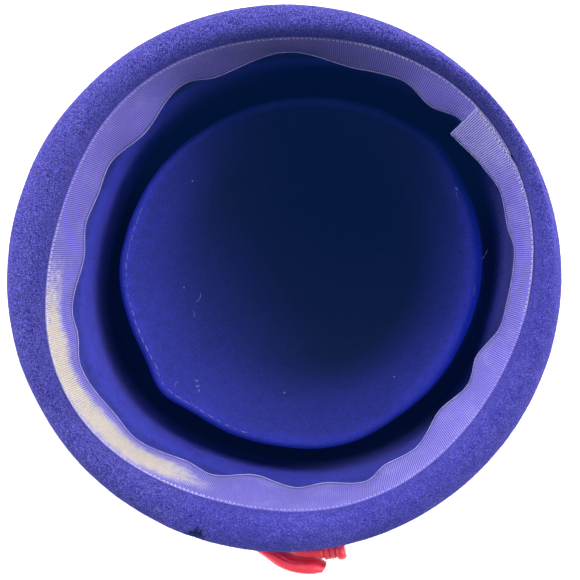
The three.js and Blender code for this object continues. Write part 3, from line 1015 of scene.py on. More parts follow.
    def values(self, radii: Array, heights: Array, around: Array, eaten: Array) -> dict[str, Array]:
        """Nap, softness, depth, shade, glow, foot light and bite at each corner.

        Args:
            radii: round radius of each corner of the skin.
            heights: height of each corner.
            around: bearing of each column.
            eaten: the moth bite on the face that shows, from the crown's tip to the brim's edge.

        Returns:
            One value for each corner under each name, the tips of back and face last.
        """
        back_rows = len(radii) - len(eaten)
        face = (np.arange(len(radii))[:, None] > back_rows).astype(float)
        smooth_side = (self.smooth_from.on(around) * self.smooth_to.off(around))[None, :]
        starts = self.nap_radius + self.nap_shift * smooth_side
        roll = self.nap_grows.on(radii - starts) * self.nap_up.on(heights)
        nap = np.maximum(roll, self.nap_brim.on(radii))
        nap = np.maximum(nap, np.maximum(self.nap_lip.on(heights), self.nap_outside * (1.0 - face)))
        soft = np.broadcast_to(self.soft_side.near(around), radii.shape)
        unlit = self.unlit_out.on(radii) * self.unlit_up.off(heights) * face
        unlit = unlit * (1.0 - self.unlit_side.near(around))
        foot = sum(side.near(around) for side in self.foot_lights)
        foot = foot * self.foot_grows.on(self.beyond(self.foot_line, radii, heights, around))
        bite = np.zeros_like(radii)
        bite[back_rows + 1 :] = eaten[:0:-1]
        rows = {
            "nap": (nap, self.nap_outside, 0.0),
            "soft": (soft, 0.0, 0.0),
            "depth": (self.above_dish.off(heights) * face, 0.0, 1.0),
            "shade": (lerp(1.0, self.shade(radii, heights, around), face), 1.0, self.darkest),
            "glow": (1.0 - unlit, 1.0, 1.0),
            "foot": (foot * self.foot_up.off(heights) * face, 0.0, 0.0),
            "bite": (bite, 0.0, 0.0),
        }
        return {name: np.append(value.reshape(-1), tips) for name, (value, *tips) in rows.items()}


@dataclass
class FeltNap(Maker):
    """Loose wool fibres that stand out of the felt: long on the brim, short elsewhere."""

    felt: FeltBody
    fibres: int = 195000
    long: float = 1.05
    short: float = 0.40
    width: float = 0.11
    rooted: float = 0.05
    inside_share: float = 0.06
    pale_share: float = 0.24
    pale_from: float = 0.7
    pale_less: float = 0.6
    lean: tuple[float, float] = (0.10, 0.70)
    reach: tuple[float, float] = (0.5, 1.2)
    tones: tuple[float, float] = (1.3, 2.0)
    floor_gap: float = 0.05

    def build(self) -> bpy.types.Object:
        """Scatters the fibres over the skin and makes them one piece."""
        rng = np.random.default_rng(SEED)
        count = self.fibres
        blank = self.felt.blank
        quads = blank.faces[0]
        places = blank.corners[quads]
        normal = np.cross(places[:, 2] - places[:, 0], places[:, 3] - places[:, 1])
        area = np.linalg.norm(normal, axis=1) / 2
        normal /= area[:, None] * 2 + TINY
        nap, bite, soft, shade = (
            blank.values[name][quads].mean(axis=1) for name in ("nap", "bite", "soft", "shade")
        )
        weight = area * (self.inside_share + nap**2) * (1.0 - bite)
        picked = rng.choice(len(quads), count, p=weight / weight.sum())
        u = rng.random((count, 1))
        v = rng.random((count, 1))
        corner = places[picked]
        near = lerp(corner[:, 0], corner[:, 1], u)
        base = lerp(near, lerp(corner[:, 3], corner[:, 2], u), v)
        up = normal[picked]
        loose = rng.normal(size=(count, 3))
        flat = loose - up * (loose * up).sum(axis=1, keepdims=True)
        flat /= np.linalg.norm(flat, axis=1, keepdims=True)
        lean = rng.uniform(*self.lean, (count, 1))
        reach = lerp(self.short, self.long, nap[picked][:, None])
        reach = reach * rng.uniform(*self.reach, (count, 1))
        way = flat * np.sqrt(1 - lean**2) + up * lean
        side = np.cross(way, up)
        side *= self.width / 2 / (np.linalg.norm(side, axis=1, keepdims=True) + TINY)
        root = base - up * self.rooted
        corners = np.stack([root - side, root + side, root + way * reach], axis=1).reshape(-1, 3)
        corners[:, 2] = np.maximum(corners[:, 2], self.floor_gap)
        tone = rng.beta(*self.tones, count)
        pale_share = self.pale_share * nap[picked] * (1.0 - self.pale_less * soft[picked])
        pale = rng.random(count) < pale_share
        tone = np.where(pale, rng.uniform(self.pale_from, 1.0, count), tone)
        values = {"tone": np.repeat(tone, 3), "shade": np.repeat(shade[picked], 3)}
        return self.make("felt_nap", Blank(corners, [np.arange(count * 3).reshape(-1, 3)], values))


@dataclass
class CreaseStitching(Maker):
    """Running stitch that holds the crown's crease, sunk where the nap closes over it."""

    first_bearing: float = 158.0
    last_bearing: float = 252.0
    pitch: float = 3.9
    long: float = 2.9
    high: float = 0.20
    inset: float = 2.1
    bury: float = 0.12
    wander: float = 0.16
    slant: float = 0.12
    uneven_long: tuple[float, float] = (0.75, 1.1)
    uneven_bury: tuple[float, float] = (0.4, 1.5)
    thread: tuple[float, ...] = (0.07, 0.126, 0.14, 0.14, 0.14, 0.126, 0.07)

    def build(self) -> bpy.types.Object:
        """Builds every stitch that shows and makes them one piece."""
        rng = np.random.default_rng(SEED + 1)
        radius = self.form.crease.radius - self.inset
        starts = np.arange(self.first_bearing, self.last_bearing, math.degrees(self.pitch / radius))
        starts = starts[:, None]
        share = np.linspace(0.0, 1.0, len(self.thread))[None, :]
        sweep = math.degrees(self.long / radius) * rng.uniform(*self.uneven_long, starts.shape)
        radii = radius + rng.normal(0.0, self.wander, starts.shape)
        radii = radii + self.slant * rng.normal(size=starts.shape) * share
        sunk = rng.uniform(*self.uneven_bury, starts.shape) * self.bury
        height = self.form.dish_top(radii) + np.sin(math.pi * share) * self.high - sunk
        paths = self.form.settle(radii, starts + sweep * share, height)
        return self.make("crease_stitches", tubes(paths, np.array(self.thread)))


@dataclass(frozen=True)
class Fold:
    """One fold of the sweatband's free edge: nearest the felt, and furthest in."""

    near: float
    near_stand: float
    out: float
    out_stand: float


@dataclass
class Sweatband(Maker):
    """Grosgrain strip inside the head hole: sewn by one edge, with its end lapped over its start."""

    thick: float = 0.55
    width: float = 25.0
    sewn_height: float = 94.6
    cad_thick: float = 1.0
    gap: float = 0.3
    tuck: float = 7.0
    start: float = 28.0
    end: float = 401.0
    lap_from: float = 380.0
    lap_to: float = 388.0
    lap_press: float = 5.0
    lap_close: float = 0.6
    gap_close: float = 0.9
    close_from: float = 84.0
    rib_pitch: float = 0.78
    rib_high: float = 0.26
    rib_back: float = 0.1
    rib_round: float = 0.8
    rib_middle: float = 0.55
    samples_per_rib: int = 4
    length_steps: int = 1200
    across_steps: int = 11
    folds: tuple[Fold, ...] = (
        Fold(28, 4.0, 34, 4.5),
        Fold(42, 4.5, 50, 8.5),
        Fold(60, 4.5, 72, 5.5),
        Fold(91, 0.3, 111, 5.5),
        Fold(119, 2.5, 136, 9.0),
        Fold(150, 3.5, 158, 4.5),
        Fold(166, 3.5, 176, 6.5),
        Fold(190, 3.0, 196, 4.5),
        Fold(204, 2.0, 218, 4.0),
        Fold(227, 2.0, 241, 4.5),
        Fold(248, 2.5, 260, 7.0),
        Fold(272, 3.0, 279, 4.5),
        Fold(290, 1.0, 297, 4.5),
        Fold(305, 3.5, 318, 8.5),
        Fold(328, 5.5, 336, 8.5),
        Fold(347, 4.0, 353, 4.5),
        Fold(366, 4.0, 373, 6.5),
        Fold(382, 6.0, 401, 10.5),
    )
    # flat_side, crisp_least and crisp_power: painted light and shade on the ribs, stronger where the
    # light falls across them, weak on the side at bearing 270
    flat_side: Side = Side(270.0, 12.0, 36.0, 0.8)
    # dim_side: painted shade on the band at the back, under the roll
    dim_side: Side = Side(88.0, 5.0, 45.0, 0.58)
    crisp_least: float = 0.48
    crisp_power: float = 0.6
    hem: Ease = Ease(0.0, 4.0)
    edge_thin: float = 0.8
    # painted highlight where the lapped end stands off the felt
    painted_light: Ease = Ease(378.0, 394.0)
    stain_comes: Ease = Ease(166.0, 200.0)
    stain_goes: Ease = Ease(230.0, 258.0)
    stain_middle: float = 6.0
    stain_drops: Ease = Ease(185.0, 240.0, 6.0)
    stain_bearing: float = 212.0
    stain_core: float = 2.0
    stain_half: float = 14.0
    stain_narrows: Ease = Ease(10.0, 40.0, 3.5)

    def stand(self, bearing: Array) -> Array:
        """How far the free edge stands in from the felt at each bearing along the strip."""
        places = np.array([[fold.near, fold.out] for fold in self.folds], float).reshape(-1)
        stands = np.array([[fold.near_stand, fold.out_stand] for fold in self.folds]).reshape(-1)
        nearest = np.clip(np.searchsorted(places, bearing), 1, len(places) - 1)
        share = (bearing - places[nearest - 1]) / (places[nearest] - places[nearest - 1])
        return lerp(stands[nearest - 1], stands[nearest], smooth(share, 0.0, 1.0))

    def place(self, bearing: Array, across: Array, lift: Number) -> Array:
        """Point of the strip.

        Args:
            bearing: bearing along the strip, past 360 where it laps over its start.
            across: distance from the sewn edge, in millimetres.
            lift: distance from the strip's back towards the wearer's head.

        Returns:
            Places in the hat's own frame.
        """
        bearing, across, lift = np.broadcast_arrays(bearing, across, lift)
        lean = self.stand(bearing) * smooth(across, 0.0, self.width + self.tuck)
        height = self.sewn_height - np.sqrt(np.maximum(0.0, across**2 - lean**2))
        close = smooth(height, self.close_from, self.sewn_height)
        pressed = self.lap_press * close
        long = self.lap_to - self.lap_from
        lap = smooth((bearing - self.lap_from - pressed) / long, 0.0, 1.0 - pressed / long)
        lap = lap * (self.cad_thick + self.gap) * (1.0 - self.lap_close * close)
        slack = (self.gap + (self.cad_thick - self.thick) / 2) * (1.0 - self.gap_close * close)
        face = self.form.head_side(height) - slack - lap - lean
        return self.form.settle(face - lift, bearing, height)

    def length(self) -> float:
        """Length of the strip along its sewn edge, in millimetres."""
        bearing = np.linspace(self.start, self.end, self.length_steps)
        edge = self.place(bearing, np.zeros(1), np.zeros(1))
        return float(np.linalg.norm(np.diff(edge, axis=0), axis=1).sum())

    def ribs(self) -> int:
        """Number of ribs in the strip."""
        return round(self.length() / self.rib_pitch)

    def stain(self, bearing: Array, across: Array) -> Array:
        """Strength of the make-up stain at each point, from 0 to 1."""
        along = self.stain_comes.on(bearing) * self.stain_goes.off(bearing)
        middle = self.stain_middle + self.stain_drops.on(bearing)
        half = self.stain_half - self.stain_narrows.on(np.abs(bearing - self.stain_bearing))
        return along * (1.0 - smooth(np.abs(across - middle), self.stain_core, half))

    def build(self) -> bpy.types.Object:
        """Builds the ribbed strip and puts it in place of its CAD node."""
        columns = self.ribs() * self.samples_per_rib + 1
        number = np.arange(columns)
        bearing = np.linspace(self.start, self.end, columns)
        phase = number % self.samples_per_rib / self.samples_per_rib
        rib = np.sin(math.pi * phase) ** self.rib_round
        across = np.linspace(0.0, self.width, self.across_steps)
        # painted light and shade: the ribs' contrast follows the bearing
        slant = np.abs(np.sin(2.0 * np.radians(bearing))) ** self.crisp_power
        crisp = lerp(self.crisp_least, 1.0, slant) * (1.0 - self.flat_side.near(bearing))
        relief = self.rib_high * (rib - 1.0) * self.hem.on(np.minimum(number, number[::-1]))
        thick = np.full((self.across_steps, 1), self.thick)
        thick[[0, -1]] *= self.edge_thin
        front = self.place(bearing[None, :], across[:, None], thick + relief[None, :])
        back = self.place(bearing[None, :], across[::-1][:, None], -relief[None, :] * self.rib_back)
        loop = np.concatenate([front, back])
        rows = len(loop)
        ends = [np.arange(rows)[None, :], (columns - 1) * rows + np.arange(rows)[::-1][None, :]]
        both = np.concatenate([across, across[::-1]])
        stain = self.stain(bearing[:, None], both[None, :])
        stain[:, self.across_steps :] = 0.0
        values = {
            # painted shade under the roll at the back
            "shade": np.repeat(1.0 - self.dim_side.near(bearing), rows),
            "highlight_and_fade": np.repeat(self.painted_light.on(bearing), rows),
            "rib": np.repeat(self.rib_middle + (rib - self.rib_middle) * crisp, rows),
            "across": np.tile(both, columns),
            "stain": stain.reshape(-1),
        }
        corners = loop.transpose(1, 0, 2).reshape(-1, 3)
        blank = Blank(corners, [grid_faces(columns, rows)[:, ::-1], *ends], values)
        return self.make("sweatband_ribbon", blank, "sweatband")


@dataclass
class SweatbandEdging(Maker):
    """Picot selvedges of the sweatband and the overcast stitches that sew it to the felt.

    The maker's own finish is the selvedges' yarn.
    """

    band: Sweatband
    sewing: ThreadFinish
    cord: float = 0.16
    cord_sunk: float = 0.6
    cord_lift: float = 0.85
    cord_rise: float = 0.10
    cord_inwards: float = 0.05
    sunk_in: float = 0.35
    sunk_down: float = 0.30
    end_cord: float = 1.3
    loop_high: float = 0.34
    sewn_loop_high: float = 0.14
    loop_steps: int = 8
    ribs_per_loop: int = 2
    end_steps: int = 80
    stitch_pitch: float = 1.65
    stitch_long: float = 1.25
    stitch_lean: float = 0.35
    stitch_thread: float = 0.23
    stitch_thinnest: float = 0.35
    stitch_wander: tuple[float, float] = (0.10, 0.08)
    stitch_inwards: float = 0.25
    stitch_lift: float = 0.08
    stitch_bow: float = 0.22
    stitch_sunk: float = 0.45
    stitch_round: tuple[float, ...] = (0.6, 0.95, 1.0, 1.0, 1.0, 0.95, 0.6)
    row_ends: tuple[float, float] = (0.5, 1.0)
    second_row: float = 22.0
    second_inwards: float = 2.3
    sewn_radius: float = 88.0
    right_comes: Ease = Ease(345.0, 358.0)
    right_goes: Ease = Ease(60.0, 82.0)
    left_comes: Ease = Ease(160.0, 185.0)
    left_goes: Ease = Ease(240.0, 262.0)

    def shown(self, bearing: Array) -> Array:
        """How far the stitches stand out of the nap at each bearing, from 0 to 1."""
        turn = bearing % 360.0
        right = self.right_comes.on(turn) + self.right_goes.off(turn)
        left = self.left_comes.on(turn) * self.left_goes.off(turn)
        return np.clip(right + left, 0.0, 1.0)

    def laid(self, bearing: Array, across: Array, lift: Array) -> Array:
        """Lays thread on the strip, or over its sewn edge where its distance across is negative."""
        path = self.band.place(bearing, np.maximum(across, 0.0), lift)
        path[..., 2] += np.maximum(-across, 0.0)
        return path

    def scallops(self, edge: float, way: float) -> Blank:
        """Builds one selvedge: a small loop of yarn for every few ribs.

        Args:
            edge: where the selvedge lies across the strip.
            way: -1 for the sewn edge and 1 for the free edge.

        Returns:
            The looped yarn.
        """
        band = self.band
        steps = band.ribs() // self.ribs_per_loop * self.loop_steps + 1
        bearing = np.linspace(band.start, band.end, steps)
        arc = np.abs(np.sin(math.pi * np.arange(steps) / self.loop_steps))
        hidden = (1.0 - self.shown(bearing)) * (way < 0.0)
        high = self.loop_high if way > 0.0 else self.sewn_loop_high
        lift = band.thick * self.cord_lift + self.cord_rise * (1.0 - arc) - self.sunk_in * hidden
        path = self.laid(bearing, edge + way * (high * arc - self.cord_inwards), lift)
        path[:, 2] -= self.sunk_down * hidden
        return tubes(path[None], self.cord * (1.0 - self.cord_sunk * hidden))

    def selvedges(self) -> bpy.types.Object:
        """Builds the looped yarn along both long edges and the cut end that is turned under."""
        band = self.band
        across = np.linspace(0.0, band.width, self.end_steps)
        hem = tubes(band.place(band.end, across, band.thick / 2)[None], self.cord * self.end_cord)
        blank = Blank.joined([self.scallops(0.0, -1.0), self.scallops(band.width, 1.0), hem])
        return self.make("sweatband_selvedges", blank)

    def row(self, start: float, end: float, inwards: float) -> Blank:
        """Builds one row of slanted stitches.

        Args:
            start: bearing of the first stitch.
            end: bearing of the last stitch.
            inwards: how much further from the sewn edge than the main row it runs.

        Returns:
            The stitches' thread.
        """
        band = self.band
        rng = np.random.default_rng(SEED + 2)
        count = int(band.length() * (end - start) / (band.end - band.start) / self.stitch_pitch)
        along_wander, across_wander = self.stitch_wander
        middle = (np.linspace(start, end, count) + rng.normal(0.0, along_wander, count))[:, None]
        share = np.linspace(-0.5, 0.5, len(self.stitch_round))[None, :]
        sweep = math.degrees(self.stitch_long / self.sewn_radius) * (1.0 - self.stitch_lean)
        across = self.stitch_inwards + inwards - share * self.stitch_long * 2.0 * self.stitch_lean
        across = across + rng.normal(0.0, across_wander, (count, 1))
        shown = self.shown(middle)
        lift = band.thick + self.stitch_lift + self.stitch_bow * np.cos(math.pi * share) * shown
        path = self.laid(middle + sweep * share, across, lift)
        path[..., 2] -= self.stitch_sunk * (1.0 - shown)
        thickness = self.stitch_thread * np.array(self.stitch_round)[None, :]
        return tubes(path, thickness * lerp(self.stitch_thinnest, 1.0, shown))

    def stitches(self) -> bpy.types.Object:
        """Builds the stitches of the sewn edge, with a second row that holds the lap."""
        band = self.band
        short, long = self.row_ends
        main = self.row(band.start + short, band.end - short, 0.0)
        second = self.row(band.end - self.second_row, band.end - long, self.second_inwards)
        return self.make("sweatband_stitches", Blank.joined([main, second]), finish=self.sewing)

    def build(self) -> list[bpy.types.Object]:
        """Builds both kinds of edging."""
        return [self.selvedges(), self.stitches()]


@dataclass(frozen=True)
class TrimSection:
    """Section across a trim piece: clear of the brim, deep, tall, and how far it is turned back."""

    bearing: float
    clear: float
    deep: float
    tall: float
    slant: float = 0.0


@dataclass
class SideTrim(Maker):
    """Small red trim on the outside of the roll: an open loop, a stem and the binding round it."""

    height: float = 82.5
    round_steps: int = 48
    # fold_from and brim_side_shade: painted shade in the pleats' folds and on the section's side
    # against the brim
    fold_from: float = 0.45
    brim_side_shade: Ease = Ease(0.2, 1.0, 0.8)
    loop_wall: float = 0.8
    loop_hollow_from: float = 273.0
    loop_steps: int = 70
    loop_soft: int = 4
    mouth: Ease = Ease(0.0, 4.0)
    loop_pleats: float = 0.03
    loop: tuple[TrimSection, ...] = (
        TrimSection(263.4, 0.4, 1.2, 5.0),
        TrimSection(266.6, 0.4, 4.4, 9.0),
        TrimSection(269.0, 1.0, 6.9, 11.0),
        TrimSection(271.0, 2.8, 6.8, 12.0),
        TrimSection(273.0, 4.6, 6.0, 12.0),
        TrimSection(275.0, 5.1, 6.2, 11.5),
        TrimSection(276.6, 5.5, 6.0, 11.0),
        TrimSection(277.6, 6.5, 4.7, 9.5, 0.3),
        TrimSection(278.3, 8.6, 2.6, 8.0, 0.75),
    )
    stem_steps: int = 90
    stem_soft: int = 2
    stem_pleats: float = 0.025
    stem: tuple[TrimSection, ...] = (
        TrimSection(271.6, 0.4, 1.2, 4.0),
        TrimSection(273.0, 0.4, 3.2, 8.5),
        TrimSection(274.8, 0.4, 4.2, 8.5),
        TrimSection(276.3, 0.4, 4.5, 8.5),
        TrimSection(278.65, 0.4, 5.9, 8.5),
        TrimSection(278.85, 1.7, 3.9, 6.0),
        TrimSection(281.3, 1.7, 3.9, 6.0),
        TrimSection(281.5, 0.4, 7.1, 9.0),
        TrimSection(282.6, 0.4, 7.5, 9.0),
        TrimSection(283.2, 0.9, 6.4, 7.4),
    )
    neck_row: int = 5
    binding_from: float = 278.9
    binding_to: float = 281.25
    binding_gap: float = 0.3
    binding_thick: float = 0.7
    binding_turns: int = 2
    steps_per_turn: int = 12
    binding_ridge: float = 0.25
    binding_round: float = 0.35
    binding_gap_shade: float = 1.6

    @staticmethod
    def column(rows: Sequence[TrimSection], name: str, bearing: Array, soft: int) -> Array:
        """One column of a table of sections, softened between its rows.

        Args:
            rows: the sections in order.
            name: the column.
            bearing: where to read it.
            soft: number of neighbouring places that are averaged.

        Returns:
            The column's value at each bearing.
        """
        places = [row.bearing for row in rows]
        values = np.interp(bearing, places, [getattr(row, name) for row in rows])
        window = np.hanning(2 * soft + 3)[1:-1]
        padded = np.pad(values, soft, mode="edge")
        return np.convolve(padded, window / window.sum(), mode="valid")[:, None]

    def round(self) -> Array:
        """Angles of the corners round a piece."""
        return np.arange(self.round_steps)[None, :] * 2 * math.pi / self.round_steps

    def skin(
        self, rows: Sequence[TrimSection], bearing: Array, inset: float, soft: int, pleats: float
    ) -> tuple[Array, Array]:
        """Rings round a trim piece, and how deep each point lies in a fold.

        Args:
            rows: the sections of the piece.
            bearing: where its rings lie.
            inset: distance inside the outer skin.
            soft: number of neighbouring rings that are averaged.
            pleats: depth of the small lengthwise folds, as a share of the piece's thickness.

        Returns:
            The corners, ring by ring, and a value from 0 to 1 for each.
        """
        clear, deep, tall, slant = (
            self.column(rows, name, bearing, soft) for name in ("clear", "deep", "tall", "slant")
        )
        angle = self.round()
        share = ((bearing - bearing[0]) / (bearing[-1] - bearing[0]))[:, None]
        ripple = 0.6 * np.sin(5.0 * angle + 2.2 * share) + 0.4 * np.sin(9.0 * angle - 3.0 * share)
        ripple = ripple * np.sin(math.pi * np.clip(share, 0.0, 1.0)) ** 0.5
        half_deep = deep / 2 * (1.0 + pleats * ripple) - inset
        half_tall = tall / 2 * (1.0 + pleats * ripple) - inset
        height = self.height + half_tall * np.sin(angle)
        middle = self.form.brim_outside(height) + clear + deep / 2
        turned = bearing[:, None] - slant * np.cos(angle)
        places = self.form.settle(middle + half_deep * np.cos(angle), turned, height)
        # painted shade in the pleats' folds and on the side against the brim
        fold = np.clip(-ripple - self.fold_from, 0.0, 1.0) + self.brim_side_shade.on(-np.cos(angle))
        return places, fold

    def closed(self, rings: Array, folds: Array, inside: Array) -> Blank:
        """Closes a run of rings with a point at each end."""
        steps, sides, _ = rings.shape
        poles = np.stack([rings[0].mean(axis=0), rings[-1].mean(axis=0)])
        corners = np.concatenate([rings.reshape(-1, 3), poles])
        values = {
            "fold": np.append(folds.reshape(-1), [folds[0].mean(), folds[-1].mean()]),
            "inside": np.append(np.repeat(inside, sides), [inside[0], inside[-1]]),
        }
        return Blank(corners, [block[:, ::-1] for block in closed_faces(steps, sides)], values)

    def build_loop(self) -> bpy.types.Object:
        """Builds the hollow loop with its open mouth."""
        rows = self.loop
        along = np.linspace(rows[0].bearing, rows[-1].bearing, self.loop_steps)
        outer, folds = self.skin(rows, along, 0.0, self.loop_soft, self.loop_pleats)
        inner, _ = self.skin(rows, along, self.loop_wall, self.loop_soft, self.loop_pleats)
        inner = inner[along >= self.loop_hollow_from][::-1]
        # painted shade inside the loop's mouth
        deep_in = self.mouth.on(np.arange(len(inner)))
        inside = np.concatenate([np.zeros(len(along)), deep_in])
        folds = np.concatenate([folds, np.ones((len(inner), self.round_steps))])
        blank = self.closed(np.concatenate([outer, inner]), folds, inside)
        return self.make("trim_loop_red", blank, "trim_loop")

    def build_stem(self) -> bpy.types.Object:
        """Builds the stem with its bound neck and rounded end."""
        along = np.linspace(self.stem[0].bearing, self.stem[-1].bearing, self.stem_steps)
        rings, folds = self.skin(self.stem, along, 0.0, self.stem_soft, self.stem_pleats)
        blank = self.closed(rings, folds, np.zeros(len(along)))
        return self.make("trim_stem_red", blank, "trim_stem")

    def build_binding(self) -> bpy.types.Object:
        """Builds the turns of binding round the neck as one sleeve."""
        neck = self.stem[self.neck_row]
        steps = self.binding_turns * self.steps_per_turn + 1
        bearing = np.linspace(self.binding_from, self.binding_to, steps)[:, None]
        turn = np.abs(np.sin(math.pi * self.binding_turns * np.linspace(0.0, 1.0, steps)))[:, None]
        angle = self.round()
        ridge = self.binding_ridge * turn**self.binding_round
        outer = self.binding_gap + self.binding_thick + ridge
        sides = []
        for grow in (outer, np.full_like(outer, self.binding_gap)):
            height = self.height + (neck.tall / 2 + grow) * np.sin(angle)
            middle = self.form.brim_outside(height) + neck.clear + neck.deep / 2
            radius = middle + (neck.deep / 2 + grow) * np.cos(angle)
            sides.append(self.form.settle(radius, bearing, height))
        rings = np.concatenate([sides[0], sides[1][::-1]])
        corners = rings.reshape(-1, 3)
        quads = grid_faces(len(rings) + 1, self.round_steps)[:, ::-1] % len(corners)
        # painted shade between the binding's turns and on its inner side
        fold = np.concatenate([self.binding_gap_shade * (1.0 - turn[:, 0]) ** 3, np.ones(steps)])
        values = {"fold": np.repeat(fold, self.round_steps), "inside": np.zeros(len(corners))}
        return self.make("trim_binding_red", Blank(corners, [quads], values), "trim_binding")

    def build(self) -> list[bpy.types.Object]:
        """Builds the three pieces of the trim."""
        return [self.build_loop(), self.build_stem(), self.build_binding()]


@dataclass(frozen=True)
class Speck:
    """A bit of lint: where it lies and how wide it is."""

    bearing: float
    radius: float
    wide: float


@dataclass(frozen=True)
class Hair:
    """A hair: where it starts, how long it is, which way it runs and how much it curls."""

    bearing: float
    radius: float
    long: float
    heading: float
    curl: float


@dataclass
class Lint(Maker):
    """Pale specks and hairs caught on the felt of the dish and its crease."""

    thread: float = 0.07
    hair: float = 0.075
    sides: int = 5
    tangles: int = 5
    tangle_steps: int = 8
    hair_steps: int = 16
    tangle_lift: tuple[float, float] = (0.1, 0.5)
    hair_lift: tuple[float, float] = (0.25, 0.5)
    specks: tuple[Speck, ...] = (
        Speck(28.2, 70.9, 0.9),
        Speck(226.5, 62.0, 0.8),
        Speck(228.0, 63.5, 0.9),
        Speck(229.5, 64.5, 0.6),
        Speck(262.0, 52.0, 0.5),
        Speck(312.0, 60.0, 0.5),
        Speck(140.0, 60.0, 0.6),
        Speck(188.0, 50.0, 0.5),
    )
    hairs: tuple[Hair, ...] = (
        Hair(4.0, 73.6, 4.6, 40.0, 0.3),
        Hair(352.5, 72.4, 4.6, 100.0, -0.2),
        Hair(27.0, 70.4, 2.2, 250.0, 0.6),
        Hair(196.0, 47.0, 4.5, 20.0, 0.7),
        Hair(200.0, 49.0, 2.8, 310.0, -0.6),
        Hair(222.0, 66.0, 2.6, 200.0, 0.8),
    )

    def laid(self, start: Speck | Hair, trail: Array, lift: Array, thick: float) -> Blank:
        """Lays a thread along a flat trail of steps on the dish."""
        angle = math.radians(start.bearing)
        flat = trail + start.radius * np.array([math.cos(angle), math.sin(angle)])
        reach = np.hypot(flat[:, 0], flat[:, 1])
        turn = np.degrees(np.arctan2(flat[:, 1], flat[:, 0]))
        path = self.form.settle(reach, turn, self.form.dish_top(reach) + lift)
        return tubes(path[None], thick, self.sides)

    def build(self) -> bpy.types.Object:
        """Builds all specks and hairs as one piece."""
        rng = np.random.default_rng(SEED + 3)
        blanks = []
        for speck in self.specks:
            for _ in range(self.tangles):
                steps = rng.normal(0.0, speck.wide / 6.0, (self.tangle_steps, 2))
                lift = rng.uniform(*self.tangle_lift, self.tangle_steps)
                blanks.append(self.laid(speck, steps.cumsum(axis=0), lift, self.thread))
        for hair in self.hairs:
            share = np.linspace(0.0, 1.0, self.hair_steps)
            heading = np.radians(hair.heading) + hair.curl * share * 2.0
            steps = np.stack([np.cos(heading), np.sin(heading)], axis=1) * hair.long / self.hair_steps
            lift = self.hair_lift[0] + self.hair_lift[1] * np.sin(math.pi * share)
            blanks.append(self.laid(hair, steps.cumsum(axis=0), lift, self.hair))
        return self.make("lint", Blank.joined(blanks))


@dataclass(frozen=True)
class SoftLamp:
    """A soft lamp: the bearing and elevation that it shines from, and its power."""

    name: str
    bearing: float
    elevation: float
    power: float


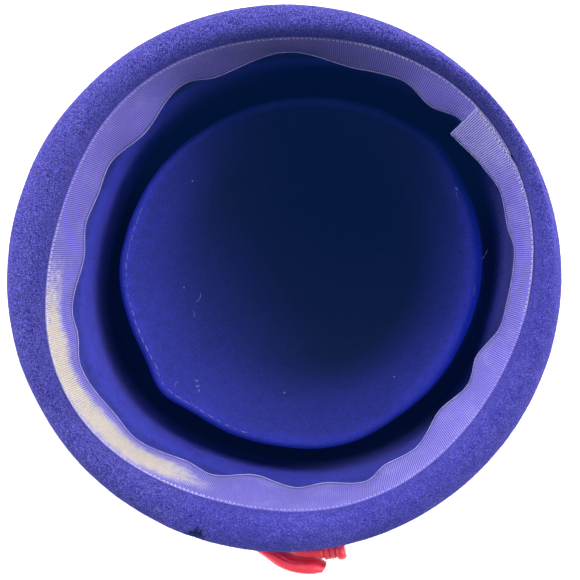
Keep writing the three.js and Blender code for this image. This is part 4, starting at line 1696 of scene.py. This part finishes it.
@dataclass
class Studio:
    """Pale floor, soft light and the camera that looks down into the hat."""

    placing: Placing
    floor_half: float = 3.0
    floor_drop: float = 0.0002
    lamp_distance: float = 1.1
    lamp_size: float = 0.6
    lamps: tuple[SoftLamp, ...] = (
        SoftLamp("key", 47.0, 40.0, 8.0),
        SoftLamp("back", 90.0, 38.0, 1.7),
        SoftLamp("right", 0.0, 38.0, 4.5),
        SoftLamp("right_low", 0.0, 15.0, 2.8),
        SoftLamp("left", 180.0, 38.0, 3.5),
        SoftLamp("left_low", 180.0, 15.0, 5.7),
        SoftLamp("left_back", 135.0, 15.0, 7.2),
        SoftLamp("left_front", 225.0, 15.0, 1.7),
    )
    room: Colour = (0.80, 0.90, 1.0)
    room_light: float = 0.01
    eye: Triple = (41.8, 12.6, 573.0)
    aim: Triple = (0.37, -5.87, 95.0)
    lens: float = 81.3
    sensor: float = 36.0

    def add(self, name: str, data: bpy.types.ID) -> bpy.types.Object:
        """Puts a mesh, lamp or camera into the scene."""
        holder = bpy.data.objects.new(name, data)
        bpy.context.collection.objects.link(holder)
        return holder

    def floor(self) -> None:
        """Lays the pale floor just under the hat."""
        mesh = bpy.data.meshes.new("floor")
        half = self.floor_half
        low = CAD_BOX[0][2] - self.floor_drop
        corners = [(-half, -half, low), (half, -half, low), (half, half, low), (-half, half, low)]
        mesh.from_pydata(corners, [], [(0, 1, 2, 3)])
        mesh.materials.append(FloorFinish().material())
        self.add("floor", mesh)

    def lamp(self, lamp: SoftLamp) -> None:
        """Adds one soft lamp that faces the hat."""
        data = bpy.data.lights.new(lamp.name, "AREA")
        data.shape = "DISK"
        data.size = self.lamp_size
        data.energy = lamp.power
        turn = math.radians(lamp.bearing)
        rise = math.radians(lamp.elevation)
        flat = math.cos(rise)
        way = Vector((math.cos(turn) * flat, math.sin(turn) * flat, math.sin(rise)))
        holder = self.add(lamp.name, data)
        holder.location = (Vector(CAD_BOX[0]) + Vector(CAD_BOX[1])) / 2 + way * self.lamp_distance
        holder.rotation_euler = way.to_track_quat("Z", "Y").to_euler()

    def sky(self) -> None:
        """Sets the even dim light of the room."""
        world = bpy.data.worlds.new("room")
        world.use_nodes = True
        back = world.node_tree.nodes["Background"]
        back.inputs["Color"].default_value = (*self.room, 1.0)
        back.inputs["Strength"].default_value = self.room_light
        bpy.context.scene.world = world

    def camera(self) -> None:
        """Sets the camera over the hat, with the top of the view towards +Y."""
        eye = Vector(self.placing.metres(np.array(self.eye)))
        aim = Vector(self.placing.metres(np.array(self.aim)))
        back = (eye - aim).normalized()
        right = Vector((0.0, 1.0, 0.0)).cross(back).normalized()
        turn = Matrix((right, back.cross(right), back)).transposed().to_4x4()
        data = bpy.data.cameras.new("camera")
        data.lens = self.lens
        data.sensor_width = self.sensor
        data.clip_start = 0.01
        camera = self.add("camera", data)
        camera.matrix_world = Matrix.Translation(eye) @ turn
        bpy.context.scene.camera = camera

    def build(self) -> None:
        """Builds floor, lamps, sky and camera."""
        self.floor()
        for lamp in self.lamps:
            self.lamp(lamp)
        self.sky()
        self.camera()
        view = bpy.context.scene.view_settings
        view.view_transform = "Standard"
        view.look = "None"
        view.exposure = 0.0


def write_sizes() -> None:
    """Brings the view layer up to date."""
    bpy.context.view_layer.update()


def main() -> None:
    """Builds the hat's pieces in order, then the studio."""
    logging.basicConfig(level=logging.INFO, format="%(name)s %(message)s")
    form = HatForm()
    placing = Placing.on(form)
    crease_thread = ThreadFinish("blue_thread", Slot.FELT, (0.56, 0.55, 0.98), (0.20, 0.18, 0.62))
    selvedge = ThreadFinish("selvedge", Slot.RIBBON, (0.74, 0.70, 1.0), (0.40, 0.36, 0.92))
    sewing = ThreadFinish("sewing_thread", Slot.RIBBON, (0.97, 0.95, 1.0), (0.62, 0.58, 0.95))
    felt = FeltBody(form, placing, FeltFinish())
    felt.build()
    FeltNap(form, placing, FibreFinish(), felt).build()
    CreaseStitching(form, placing, crease_thread).build()
    Lint(form, placing, LintFinish()).build()
    band = Sweatband(form, placing, GrosgrainFinish())
    ribbon = band.build()
    edging = SweatbandEdging(form, placing, selvedge, band, sewing).build()
    band.length() * MM
    SideTrim(form, placing, TrimFinish()).build()
    Studio(placing).build()
    write_sizes()


if __name__ == "__main__":
    main()
